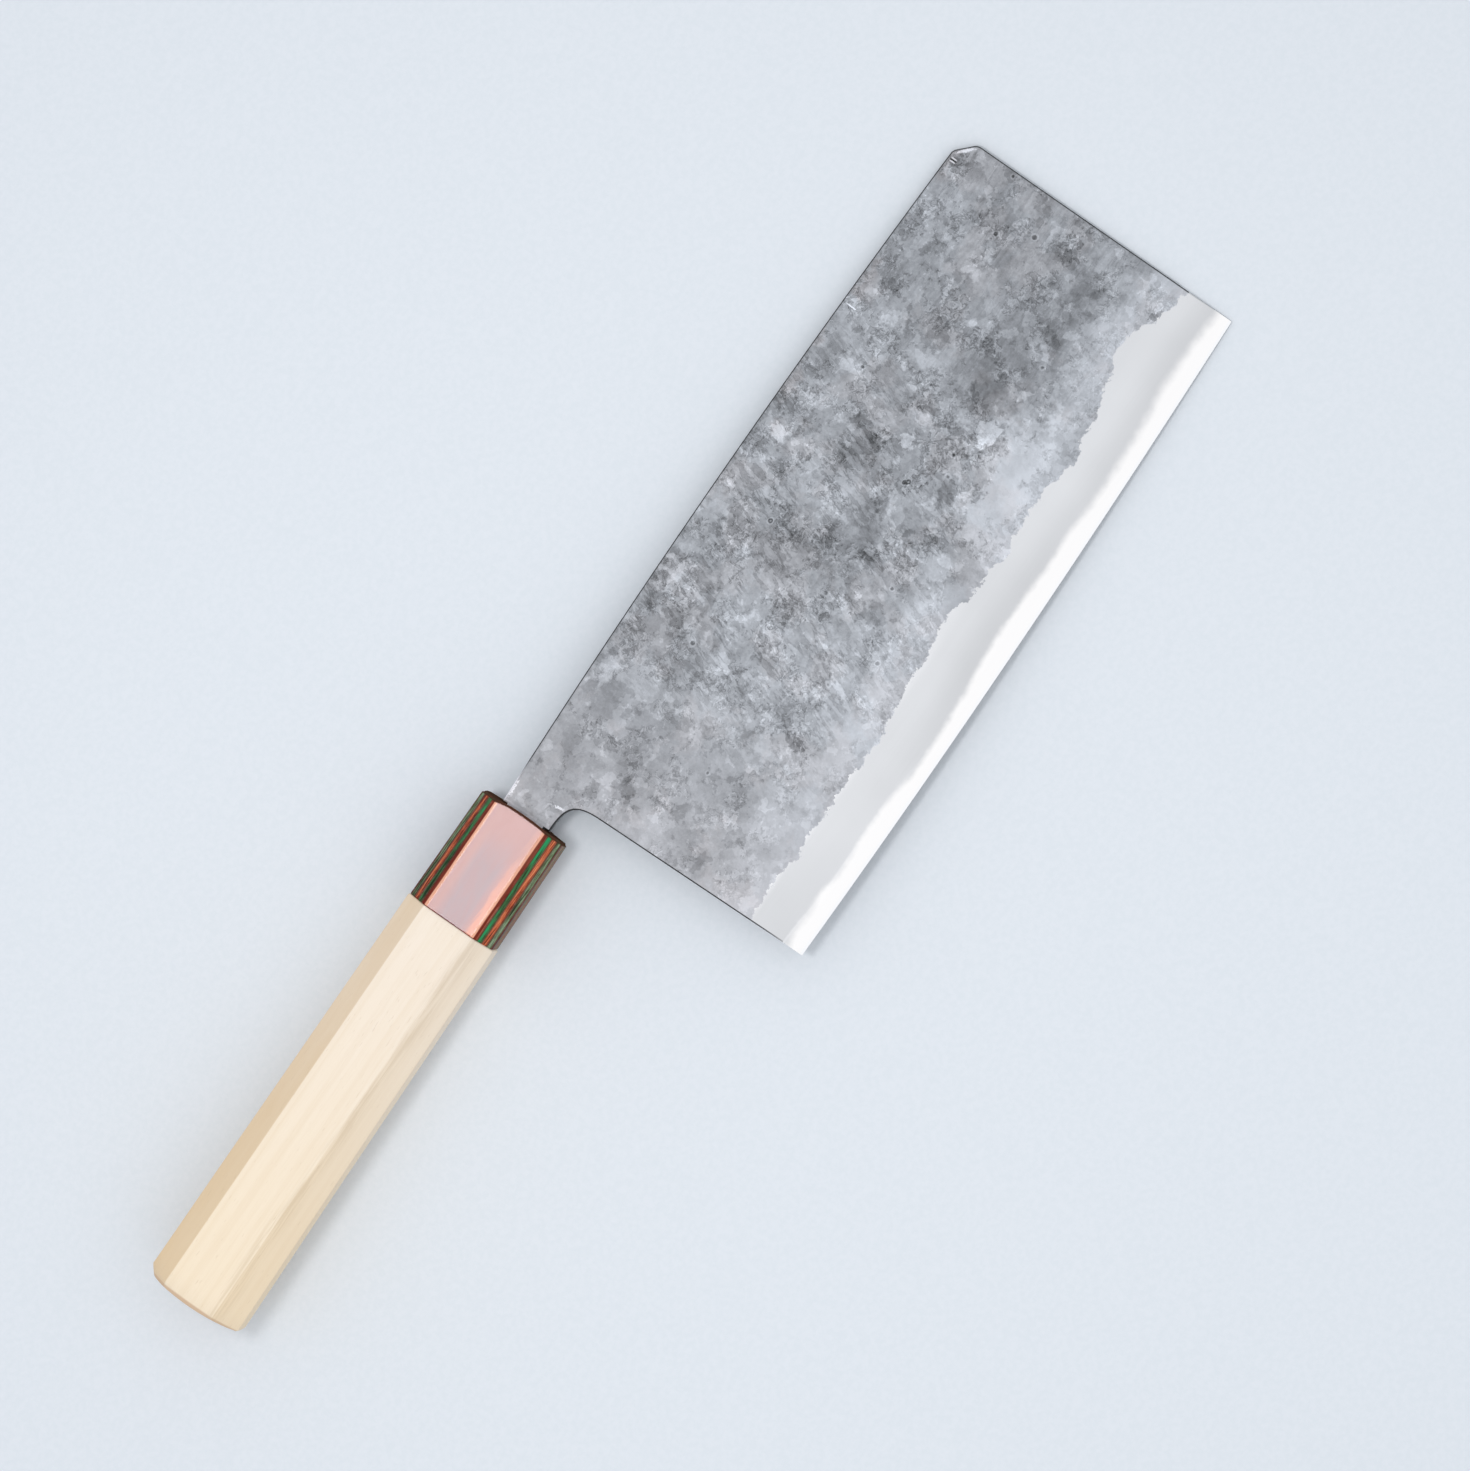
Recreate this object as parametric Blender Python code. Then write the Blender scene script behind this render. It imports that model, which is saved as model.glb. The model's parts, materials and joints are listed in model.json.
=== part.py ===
"""Nakiri knife: a laminated blade in an octagonal handle with a ferrule of dyed veneers.

The knife is drawn along its handle: +X runs from the ferrule's front face to the blade's tip,
+Y to the spine, -Y to the cutting edge, and +Z out of the blade's right face. An empty then
lays the whole knife down as it rests on a table, on one corner of the ferrule and on the
blade's front, at the spine's corner and where the bevel starts. The origin is then below the
middle of the knife's bounding box.
"""
import math

import bmesh
import bpy
from mathutils import Matrix, Vector

# Blade outline, in metres, seen from its right face.
EDGE_LENGTH = 0.1800
NECK_LENGTH = 0.0099
NECK_HEIGHT = 0.0130
CHOIL_RADIUS = 0.0042
HEEL_DROP = 0.0725
TIP_DROP = 0.0712
EDGE_BELLY_HEEL = 0.0014
EDGE_BELLY_TIP = 0.0019
SPINE_TIP_HEIGHT = 0.0058
SPINE_CROWN_NECK = 0.0022
SPINE_CROWN_TIP = 0.0026
TIP_RADIUS = 0.0052
FRONT_RAKE = 0.0009

# Blade thickness and grind.
SPINE_THICKNESS_HEEL = 0.0034
SPINE_THICKNESS_TIP = 0.0022
FACE_THINNING = 0.0007
BEVEL_HEIGHT = 0.0155
EDGE_LAND = 0.0002
SPINE_CHAMFER = 0.00025

# Strip of core steel that the bevel lays bare, wavy from the forge: shares of the way from
# heel to tip, and the strip's width there.
CORE_SHOWING = (
    (0.00, 0.0055), (0.10, 0.0046), (0.22, 0.0049), (0.33, 0.0037), (0.50, 0.0059),
    (0.63, 0.0057), (0.77, 0.0041), (0.90, 0.0045), (1.00, 0.0041))

# Tang, hidden in the handle.
TANG_LENGTH = 0.1000
TANG_HEIGHT = 0.0105
TANG_END_HEIGHT = 0.0055
TANG_END_THICKNESS = 0.0024
BEDDING_WALL = 0.0008
BEDDING_RECESS = 0.0006

# Handle: a tapered octagon, two of its flats parallel to the blade.
HANDLE_LENGTH = 0.1400
HANDLE_HEIGHT_FRONT = 0.0243
HANDLE_HEIGHT_BUTT = 0.0250
HANDLE_THICKNESS_FRONT = 0.0206
HANDLE_THICKNESS_BUTT = 0.0213
HANDLE_FLAT = 0.0139
ARRIS = 0.0003
SHOULDER_CHAMFER = 0.0004
BUTT_CHAMFER = 0.0014
BUTT_CROWN = 0.0008

# Ferrule, and the tenon that plugs into it.
FERRULE_LENGTH = 0.0305
FERRULE_HEIGHT_FRONT = 0.0229
FERRULE_THICKNESS_FRONT = 0.0196
FERRULE_STEP = 0.00035
FERRULE_CHAMFER = 0.0007
VENEER_THICKNESS = 0.0012
THINNEST_VENEER = 0.0004
TENON_DIAMETER = 0.0138
TENON_LENGTH = 0.0200
TENON_CHAMFER = 0.0006

# Clearances: a bonded face, and a slip fit.
GLUE_LINE = 0.00005
FIT_GAP = 0.0003

# How finely curves are drawn, and how far a cutter runs past what it cuts.
EDGE_STATIONS = 48
NECK_STEPS = 3
ARC_STEPS = 8
CROWN_STEPS = 3
TENON_SIDES = 48
SMOOTH_ANGLE = math.radians(30)
OVERRUN = 0.003
SAME_POINT = 1e-7

# Finishes: colour, roughness and metallic.
POLISHED_STEEL = ((0.66, 0.68, 0.70), 0.22, 1.0)
FORGED_IRON = ((0.30, 0.31, 0.33), 0.55, 0.85)
PALE_WOOD = ((0.80, 0.68, 0.48), 0.60, 0.0)
RED_VENEER = ((0.52, 0.07, 0.05), 0.30, 0.0)
GREEN_VENEER = ((0.07, 0.22, 0.10), 0.30, 0.0)
RESIN = ((0.30, 0.17, 0.05), 0.35, 0.0)

# Places worked out from the sizes above.
HEEL_X = NECK_LENGTH
SHOULDER_X = FIT_GAP
NECK_HALF = NECK_HEIGHT / 2
EDGE_HALF = EDGE_LAND / 2
WOOD_FRONT_X = -FERRULE_LENGTH - GLUE_LINE
TENON_END_X = WOOD_FRONT_X + TENON_LENGTH
BORE_END_X = TENON_END_X + FIT_GAP
BORE_RADIUS = TENON_DIAMETER / 2 + FIT_GAP
BEDDING_END_X = -TANG_LENGTH - GLUE_LINE - BEDDING_WALL
BEDDING_MARGIN = GLUE_LINE + BEDDING_WALL
POCKET_MARGIN = BEDDING_MARGIN + GLUE_LINE
OCTAGON_CORNER = math.tan(math.pi / 8)


def clear_scene():
    """Remove whatever the scene holds."""
    for obj in list(bpy.data.objects):
        bpy.data.objects.remove(obj, do_unlink=True)


def add_object(name, bm):
    """Turn a bmesh into a named object."""
    mesh = bpy.data.meshes.new(name)
    bmesh.ops.recalc_face_normals(bm, faces=bm.faces)
    bm.to_mesh(mesh)
    bm.free()
    mesh.shade_smooth()
    mesh.set_sharp_from_angle(angle=SMOOTH_ANGLE)
    obj = bpy.data.objects.new(name, mesh)
    bpy.context.scene.collection.objects.link(obj)
    return obj


def add_piece(name, bm, finish):
    """Add a piece of the knife, with a material of its own."""
    colour, roughness, metallic = finish
    obj = add_object(name, bm)
    material = bpy.data.materials.new(name)
    material.use_nodes = True
    shader = material.node_tree.nodes["Principled BSDF"]
    shader.inputs["Base Color"].default_value = (*colour, 1.0)
    shader.inputs["Roughness"].default_value = roughness
    shader.inputs["Metallic"].default_value = metallic
    obj.data.materials.append(material)
    return obj


def add_cutter(name, bm):
    """Add a guide that only Booleans use."""
    obj = add_object(name, bm)
    obj.hide_render = True
    obj.display_type = "WIRE"
    return obj


def combine(obj, tool, operation):
    """Add an exact Boolean with another object."""
    modifier = obj.modifiers.new(tool.name, "BOOLEAN")
    modifier.operation = operation
    modifier.solver = "EXACT"
    modifier.object = tool


def between(share, start, end):
    """Value a share of the way from start to end."""
    return start + share * (end - start)


def cubic(share, start, first, second, end):
    """Height of a cubic Bezier curve a share of the way along it."""
    rest = 1.0 - share
    return (start * rest ** 3 + 3 * first * share * rest ** 2
            + 3 * second * share ** 2 * rest + end * share ** 3)


def edge_height(share):
    """Height of the cutting edge, from heel to tip."""
    return cubic(share, -HEEL_DROP, -HEEL_DROP - EDGE_BELLY_HEEL,
                 -TIP_DROP - EDGE_BELLY_TIP, -TIP_DROP)


def spine_height(x):
    """Height of the spine, from the ferrule to the blade's front."""
    share = (x - SHOULDER_X) / (front_x(SPINE_TIP_HEIGHT) - SHOULDER_X)
    return cubic(share, NECK_HALF, NECK_HALF + SPINE_CROWN_NECK,
                 SPINE_TIP_HEIGHT + SPINE_CROWN_TIP, SPINE_TIP_HEIGHT)


def front_x(y):
    """Where the blade's front lies at a height: it leans forward towards the spine."""
    rise = (y + TIP_DROP) / (TIP_DROP + SPINE_TIP_HEIGHT)
    return HEEL_X + EDGE_LENGTH + FRONT_RAKE * rise


def above_edge(share, rise):
    """Point a share of the way along the blade and a rise above its edge."""
    y = edge_height(share) + rise
    return between(share, HEEL_X, front_x(y)), y


def face_half(x, y):
    """Half the thickness on the blade's flat: a plane that thins to the tip and the edge."""
    to_tip = (x - HEEL_X) / EDGE_LENGTH
    to_bevel = (NECK_HALF - y) / (NECK_HALF + HEEL_DROP - BEVEL_HEIGHT)
    thickness = between(to_tip, SPINE_THICKNESS_HEEL, SPINE_THICKNESS_TIP)
    return (thickness - to_bevel * FACE_THINNING) / 2


def tang_share(x):
    """Share of the way from the shoulder back to the tang's end."""
    return (SHOULDER_X - x) / (SHOULDER_X + TANG_LENGTH)


def tang_half(x):
    """Half the tang's thickness."""
    return between(tang_share(x), face_half(SHOULDER_X, NECK_HALF), TANG_END_THICKNESS / 2)


def tang_rise(x):
    """Half the tang's height."""
    return between(tang_share(x), TANG_HEIGHT / 2, TANG_END_HEIGHT / 2)


def outer_half(x, y):
    """Half the thickness over all layers, on the blade's flat, the neck and the tang."""
    if x < SHOULDER_X:
        return tang_half(x)
    return face_half(x, y)


def core_showing(x):
    """Width of the strip of core steel that shows along the edge."""
    along = min(max((x - HEEL_X) / EDGE_LENGTH, 0.0), 1.0)
    for (start, width), (end, next_width) in zip(CORE_SHOWING, CORE_SHOWING[1:]):
        if along <= end:
            share = (along - start) / (end - start)
            return between((1.0 - math.cos(math.pi * share)) / 2, width, next_width)


def core_half(x):
    """Half the core's thickness: the bevel has to lay bare the strip that shows."""
    root = max(x, SHOULDER_X)
    bevel_top = face_half(root, BEVEL_HEIGHT - HEEL_DROP)
    on_blade = between(core_showing(root) / BEVEL_HEIGHT, EDGE_HALF, bevel_top)
    return on_blade * outer_half(x, 0.0) / face_half(root, 0.0)


def bevel_rise(share, half):
    """Rise above the edge at which the bevel has a given half thickness."""
    bevel_top = face_half(*above_edge(share, BEVEL_HEIGHT))
    return BEVEL_HEIGHT * (half - EDGE_HALF) / (bevel_top - EDGE_HALF)


def arc(centre_x, centre_y, radius, start, end):
    """Points along an arc, its angles in degrees from +X."""
    points = []
    for step in range(ARC_STEPS + 1):
        angle = math.radians(between(step / ARC_STEPS, start, end))
        points.append((centre_x + radius * math.cos(angle), centre_y + radius * math.sin(angle)))
    return points


def tip_corner():
    """Centre of the arc that rounds the corner between spine and front."""
    x = front_x(SPINE_TIP_HEIGHT) - TIP_RADIUS
    return x, spine_height(x) - TIP_RADIUS


def line_above_edge(height_at):
    """Points from heel to tip, each as high above the edge as height_at says."""
    shares = [step / EDGE_STATIONS for step in range(EDGE_STATIONS + 1)]
    return [above_edge(share, height_at(share)) for share in shares]


def core_top_rise(share):
    """Rise above the edge where the core's flat meets the bevel."""
    x, _ = above_edge(share, 0.0)
    return bevel_rise(share, core_half(x))


def cladding_end_rise(share):
    """Rise above the edge where the cladding runs out on the bevel."""
    x, _ = above_edge(share, 0.0)
    return bevel_rise(share, core_half(x) + GLUE_LINE)


def neck_panel(spine_start, choil_end):
    """Panel from the ferrule to the heel, its lower side rounded into the choil."""
    points = [spine_start]
    for step in range(NECK_STEPS - 1, 0, -1):
        x = between(step / NECK_STEPS, SHOULDER_X, HEEL_X)
        points.append((x, spine_height(x)))
    points += [(SHOULDER_X, side * rise) for side, rise in (
        (1, NECK_HALF), (1, TANG_HEIGHT / 2), (-1, TANG_HEIGHT / 2), (-1, NECK_HALF))]
    points += arc(HEEL_X - CHOIL_RADIUS, choil_end[1], CHOIL_RADIUS, 90, 0)[:-1]
    return points + [choil_end]


def tang_panel():
    """Panel of the tang, from its top corner at the shoulder round its end."""
    ends = ((SHOULDER_X, 1), (-TANG_LENGTH, 1), (-TANG_LENGTH, -1), (SHOULDER_X, -1))
    return [(x, side * tang_rise(x)) for x, side in ends]


def layer_panels(slope_top, slope_end):
    """Plan panels of one blade layer, counterclockwise loops of points.

    slope_top and slope_end are the lines between which the layer slopes to the edge.
    """
    corner_x, corner_y = tip_corner()
    stations = [HEEL_X + EDGE_LENGTH * step / EDGE_STATIONS for step in range(EDGE_STATIONS)]
    spine = [(x, spine_height(x)) for x in stations if corner_x - x > SAME_POINT]
    choil_end = (HEEL_X, -NECK_HALF - CHOIL_RADIUS)
    last = len(spine) - 1
    panels = [tang_panel(), neck_panel(spine[0], choil_end),
              [slope_top[0], slope_top[1], spine[1], spine[0], choil_end]]
    for i in range(1, last):
        panels.append([slope_top[i], slope_top[i + 1], spine[i + 1], spine[i]])
    panels.append(slope_top[last:] + arc(corner_x, corner_y, TIP_RADIUS, 0, 90) + [spine[last]])
    for i in range(EDGE_STATIONS):
        panels.append([slope_end[i], slope_end[i + 1], slope_top[i + 1], slope_top[i]])
    return panels


def add_layer(name, slope_top, slope_end, outer, inner, side, finish, chamfer=0.0):
    """Add one layer of the blade.

    outer and inner give its surfaces' distances from the blade's middle plane at a plan
    point, measured towards side. A chamfer breaks the rim of the outer surface.
    """
    bm = bmesh.new()
    panels = layer_panels(slope_top, slope_end)
    near = {}
    far = {}
    for point in dict.fromkeys(point for panel in panels for point in panel):
        high, low = outer(*point), inner(*point)
        far[point] = bm.verts.new((*point, side * high))
        runs_out = high - low < SAME_POINT
        near[point] = far[point] if runs_out else bm.verts.new((*point, side * low))
    borders = {}
    for panel in panels:
        bm.faces.new([far[point] for point in panel])
        bm.faces.new([near[point] for point in reversed(panel)])
        borders.update({(panel[i - 1], panel[i]): None for i in range(len(panel))})
    rim = []
    for start, end in borders:
        if (end, start) in borders:
            continue
        wall = list(dict.fromkeys((near[start], near[end], far[end], far[start])))
        if len(wall) > 2:
            bm.faces.new(wall)
        at_shoulder = max(start[0], end[0]) - SHOULDER_X < SAME_POINT
        if not (at_shoulder or start in slope_end or end in slope_end):
            rim.append(bm.edges.get((far[start], far[end])))
    if chamfer:
        bmesh.ops.bevel(bm, geom=rim, offset=chamfer, offset_type="OFFSET", segments=1,
                        affect="EDGES", clamp_overlap=True)
    return add_piece(name, bm, finish)


def blade_chamfer():
    """Chamfer round the blade's flat, kept within the cladding where that is thinnest."""
    x, y = above_edge(1.0, BEVEL_HEIGHT)
    cladding = face_half(x, y) - core_half(x) - GLUE_LINE
    return min(SPINE_CHAMFER, cladding / 2)


def add_blade():
    """Core steel between two claddings, all three running on through neck and tang."""
    bevel_top = line_above_edge(lambda share: BEVEL_HEIGHT)
    cladding_end = line_above_edge(cladding_end_rise)
    core_top = line_above_edge(core_top_rise)
    edge = line_above_edge(lambda share: 0.0)

    def core_face(x, y):
        return EDGE_HALF if (x, y) in edge else core_half(x)

    def cladding_back(x, y):
        return core_half(x) + GLUE_LINE

    def cladding_face(x, y):
        return cladding_back(x, y) if (x, y) in cladding_end else outer_half(x, y)

    pieces = [add_layer("core_steel", core_top, edge, core_face,
                        lambda x, y: -core_face(x, y), 1, POLISHED_STEEL)]
    for name, side in (("right_cladding", 1), ("left_cladding", -1)):
        pieces.append(add_layer(name, bevel_top, cladding_end, cladding_face, cladding_back,
                                side, FORGED_IRON, blade_chamfer()))
    return pieces


def loft(rings):
    """Closed solid through rings of points that match one to one."""
    bm = bmesh.new()
    rows = [[bm.verts.new(point) for point in ring] for ring in rings]
    for near, far in zip(rows, rows[1:]):
        for i in range(len(near)):
            bm.faces.new((near[i - 1], near[i], far[i], far[i - 1]))
    bm.faces.new(rows[0])
    bm.faces.new(reversed(rows[-1]))
    return bm


def octagon(x, height, thickness, inset=0.0):
    """Ring of an octagon with 45 degree chamfers and broken arrises, drawn in by an inset."""
    rise = height / 2 - inset
    half = thickness / 2 - inset
    flat = HANDLE_FLAT / 2 - inset * OCTAGON_CORNER
    side = half - (rise - flat)
    corners = [Vector((x, rise, side)), Vector((x, flat, half))]
    corners += [Vector((x, -corner.y, corner.z)) for corner in reversed(corners)]
    corners += [Vector((x, -corner.y, -corner.z)) for corner in corners]
    ring = []
    for i, corner in enumerate(corners):
        after = corners[(i + 1) % len(corners)]
        ring.append(corner + (corners[i - 1] - corner).normalized() * ARRIS)
        ring.append(corner + (after - corner).normalized() * ARRIS)
    return ring


def circle(x, radius):
    """Ring of a round tenon or bore."""
    angles = [math.tau * i / TENON_SIDES for i in range(TENON_SIDES)]
    return [(x, radius * math.cos(angle), radius * math.sin(angle)) for angle in angles]


def wood_octagon(x, inset=0.0):
    """Section of the wooden part of the handle."""
    share = (WOOD_FRONT_X - x) / (WOOD_FRONT_X + HANDLE_LENGTH)
    return octagon(x, between(share, HANDLE_HEIGHT_FRONT, HANDLE_HEIGHT_BUTT),
                   between(share, HANDLE_THICKNESS_FRONT, HANDLE_THICKNESS_BUTT), inset)


def ferrule_octagon(x, inset=0.0):
    """Section of the ferrule, FERRULE_STEP below the wood at its back."""
    share = -x / FERRULE_LENGTH
    back_height = HANDLE_HEIGHT_FRONT - 2 * FERRULE_STEP
    back_thickness = HANDLE_THICKNESS_FRONT - 2 * FERRULE_STEP
    return octagon(x, between(share, FERRULE_HEIGHT_FRONT, back_height),
                   between(share, FERRULE_THICKNESS_FRONT, back_thickness), inset)


def tang_block(start_x, end_x, margin):
    """Tapered block that follows the tang at an even margin."""
    rings = []
    for x in (start_x, end_x):
        rise, half = tang_rise(x) + margin, tang_half(x) + margin
        rings.append([(x, rise, half), (x, -rise, half), (x, -rise, -half), (x, rise, -half)])
    return loft(rings)


def add_handle(pocket):
    """Octagonal body with a crowned butt, a round tenon and the tang's pocket."""
    rings = [wood_octagon(WOOD_FRONT_X, SHOULDER_CHAMFER),
             wood_octagon(WOOD_FRONT_X - SHOULDER_CHAMFER),
             wood_octagon(-HANDLE_LENGTH + BUTT_CROWN + BUTT_CHAMFER)]
    for step in range(CROWN_STEPS + 1):
        share = step / CROWN_STEPS
        x = -HANDLE_LENGTH + BUTT_CROWN * (1.0 - share) ** 2
        rings.append(wood_octagon(x, between(share, BUTT_CHAMFER, HANDLE_FLAT / 2)))
    handle = add_piece("handle", loft(rings), PALE_WOOD)
    radius = TENON_DIAMETER / 2
    tenon = add_cutter("tenon_form", loft([
        circle(WOOD_FRONT_X - OVERRUN, radius), circle(TENON_END_X - TENON_CHAMFER, radius),
        circle(TENON_END_X, radius - TENON_CHAMFER)]))
    combine(handle, tenon, "UNION")
    combine(handle, pocket, "DIFFERENCE")
    return handle


def trim(bm, point, outward):
    """Cut away what lies beyond a plane, and close the cut."""
    geometry = bm.verts[:] + bm.edges[:] + bm.faces[:]
    cut = bmesh.ops.bisect_plane(bm, geom=geometry, dist=SAME_POINT, plane_co=point,
                                 plane_no=outward, clear_outer=True)
    rim = [item for item in cut["geom_cut"] if isinstance(item, bmesh.types.BMEdge)]
    bmesh.ops.holes_fill(bm, edges=rim)


def add_veneer(name, low, high, side, finish, cutters):
    """Slice one veneer out of the ferrule's shape, or its strip on one side of the tang."""
    bm = loft([ferrule_octagon(0.0, FERRULE_CHAMFER), ferrule_octagon(-FERRULE_CHAMFER),
               ferrule_octagon(-FERRULE_LENGTH)])
    if low is not None:
        trim(bm, (0.0, 0.0, low), (0.0, 0.0, -1.0))
    if high is not None:
        trim(bm, (0.0, 0.0, high), (0.0, 0.0, 1.0))
    if side:
        trim(bm, (0.0, 0.0, 0.0), (0.0, -side, 0.0))
    veneer = add_piece(name, bm, finish)
    for cutter in cutters:
        combine(veneer, cutter, "DIFFERENCE")
    return veneer


def add_ferrule(pocket):
    """Veneers glued flat on each other, shaped as one octagon, bored and slotted."""
    bore = add_cutter("bore_form", loft([circle(-FERRULE_LENGTH - OVERRUN, BORE_RADIUS),
                                         circle(BORE_END_X, BORE_RADIUS)]))
    pocket_half = tang_half(BORE_END_X) + POCKET_MARGIN
    pocket_half_front = tang_half(0.0) + POCKET_MARGIN
    outermost = math.floor((FERRULE_THICKNESS_FRONT / 2 - THINNEST_VENEER) / VENEER_THICKNESS + 0.5)
    veneers = []
    for layer in range(-outermost, outermost + 1):
        middle = layer * VENEER_THICKNESS
        reach = (VENEER_THICKNESS - GLUE_LINE) / 2
        low = None if layer == -outermost else middle - reach
        high = None if layer == outermost else middle + reach
        nearest = max(0.0, abs(middle) - reach)
        cutters = []
        if nearest < pocket_half_front:
            cutters.append(pocket)
        if nearest < BORE_RADIUS:
            cutters.append(bore)
        red = (layer - outermost) % 2 == 0
        finish = RED_VENEER if red else GREEN_VENEER
        name = f"ferrule_veneer_{layer + outermost + 1:02d}_{'red' if red else 'green'}"
        if abs(middle) + reach < pocket_half:
            for side, label in ((1, "spine_strip"), (-1, "edge_strip")):
                veneers.append(add_veneer(f"{name}_{label}", low, high, side, finish, cutters))
        else:
            veneers.append(add_veneer(name, low, high, 0, finish, cutters))
    return veneers


def add_bedding():
    """Resin that fills the pocket round the tang."""
    bedding = add_piece("tang_bedding", tang_block(-BEDDING_RECESS, BEDDING_END_X, BEDDING_MARGIN),
                        RESIN)
    socket = add_cutter("tang_form", tang_block(OVERRUN, -TANG_LENGTH - GLUE_LINE, GLUE_LINE))
    combine(bedding, socket, "DIFFERENCE")
    return bedding


def resting_rotation():
    """Rotation that levels the three corners the knife rests on, +X still towards the tip."""
    inset = blade_chamfer()
    corner_x, tip_y = tip_corner()
    tip_x = corner_x + TIP_RADIUS - inset
    bevel_x, bevel_y = above_edge(1.0, BEVEL_HEIGHT)
    ferrule_corner = Vector((-FERRULE_CHAMFER, ARRIS - HANDLE_FLAT / 2,
                             -FERRULE_THICKNESS_FRONT / 2))
    spine_corner = Vector((tip_x, tip_y, -face_half(tip_x, tip_y)))
    bevel_corner = Vector((bevel_x - inset, bevel_y, -face_half(bevel_x - inset, bevel_y)))
    up = (bevel_corner - ferrule_corner).cross(spine_corner - ferrule_corner).normalized()
    forward = (Vector((1.0, 0.0, 0.0)) - up * up.x).normalized()
    return Matrix((forward, up.cross(forward), up)).to_4x4()


def lay_down(pieces):
    """Parent everything to an empty that lays the knife at rest over the origin."""
    rotation = resting_rotation()
    bpy.context.view_layer.update()
    depsgraph = bpy.context.evaluated_depsgraph_get()
    corners = []
    for piece in pieces:
        mesh = piece.evaluated_get(depsgraph).to_mesh()
        corners += [rotation @ vert.co for vert in mesh.vertices]
    lowest = Vector([min(corner[axis] for corner in corners) for axis in range(3)])
    highest = Vector([max(corner[axis] for corner in corners) for axis in range(3)])
    middle = (lowest + highest) / 2
    rest = bpy.data.objects.new("rest", None)
    bpy.context.scene.collection.objects.link(rest)
    rest.matrix_world = Matrix.Translation((-middle.x, -middle.y, -lowest.z)) @ rotation
    for obj in bpy.data.objects:
        if obj is not rest:
            obj.parent = rest


def main():
    """Build the knife."""
    clear_scene()
    pocket = add_cutter("pocket_form", tang_block(OVERRUN, BEDDING_END_X - GLUE_LINE,
                                                  POCKET_MARGIN))
    pieces = add_blade() + add_ferrule(pocket) + [add_handle(pocket), add_bedding()]
    lay_down(pieces)


main()
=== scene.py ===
"""Looks of the nakiri knife: forged blade, ferrule of dyed veneers and pale wooden handle.

Every piece is drawn in the knife's own axes: +X runs from the ferrule's front face to the
blade's tip, +Y to the spine, -Y to the cutting edge, and +Z out of the blade's right face.
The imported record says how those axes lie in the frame.
"""
import json
import math
from functools import reduce

import bmesh
import bpy
from mathutils import Matrix, Vector, noise


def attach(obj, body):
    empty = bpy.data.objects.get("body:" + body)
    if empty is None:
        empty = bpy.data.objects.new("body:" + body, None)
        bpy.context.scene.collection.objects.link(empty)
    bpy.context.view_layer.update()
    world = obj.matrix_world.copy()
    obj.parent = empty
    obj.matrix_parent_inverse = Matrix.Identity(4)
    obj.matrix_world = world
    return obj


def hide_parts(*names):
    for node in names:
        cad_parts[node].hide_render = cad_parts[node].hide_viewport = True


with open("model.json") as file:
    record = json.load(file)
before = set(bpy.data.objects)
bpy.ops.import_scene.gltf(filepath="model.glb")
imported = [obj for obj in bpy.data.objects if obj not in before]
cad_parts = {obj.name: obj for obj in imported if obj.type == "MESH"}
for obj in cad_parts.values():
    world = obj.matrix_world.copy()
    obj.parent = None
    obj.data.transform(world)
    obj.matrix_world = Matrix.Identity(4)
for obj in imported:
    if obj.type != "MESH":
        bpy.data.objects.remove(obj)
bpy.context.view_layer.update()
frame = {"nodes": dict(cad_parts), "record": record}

MM = 0.001

# Blade outline, in metres. A pair is the value at the heel and at the tip.
EDGE_LENGTH = 0.18
HEEL_X = 0.0099
SHOULDER_X = -0.0001
NECK_HALF = 0.0065
CHOIL = ((SHOULDER_X, -0.0067), (0.0066, -0.0067), (0.009, -0.0075), (0.00905, -0.0155))
CHOIL_STEPS = 20
HEEL_DROP = 0.0725
TIP_DROP = 0.0712
EDGE_BELLY = (0.0014, 0.0019)
SPINE_TIP_HEIGHT = 0.0058
SPINE_CROWN = (0.0022, 0.0026)
TIP_RADIUS = 0.0052
FRONT_RAKE = 0.0009
TIP_FACET = 0.0043
TIP_SOFTENING = 0.0022

# Blade thickness and grind.
SPINE_THICKNESS = (0.0034, 0.0022)
FACE_THINNING = 0.0007
BEVEL_HEIGHT = 0.0155
EDGE_HALF = 0.0001
EDGE_POLISH = 0.0006
LAMINATION_GAP = 0.000003
THINNEST = 0.000002
CORE_SHOWING = ((0, 0.0055), (0.1, 0.0046), (0.22, 0.0049), (0.33, 0.0037), (0.5, 0.0059), (0.63, 0.0057),
    (0.77, 0.0041), (0.9, 0.0045), (1, 0.0041))
TANG_LENGTH = 0.1
TANG_HALF_HEIGHT = 0.00525
TANG_END_HALF_HEIGHT = 0.00275
TANG_END_THICKNESS = 0.0024

# Surface the hammer left: how high it waves, and over which length.
FORGE_WAVES = ((0.000045, 0.019), (0.000018, 0.0062))
RIM_RADIUS = 0.00035
RIM_STEPS = 3
GRID = 0.0011

# Where the grinding stopped: millimetres from the heel, and above the edge.
GRIND_LINE = ((0, 15.2), (8, 15.4), (15, 15.4), (18.5, 14.3), (25, 15.2), (37, 15.2), (47.8, 14.6),
    (61, 15.3), (69, 16.7), (74, 16), (82, 17.8), (87, 17.4), (92, 15.7), (97, 15.6), (105, 14),
    (111, 15.2), (116, 15.4), (123, 14.5), (132, 13.2), (138, 14.5), (144, 14.9), (149.5, 16.5),
    (154, 17.2), (158, 18.8), (163, 19), (167, 17.4), (170.5, 14.3), (173, 14.9), (176.5, 12.8),
    (180, 12.4))

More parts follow.
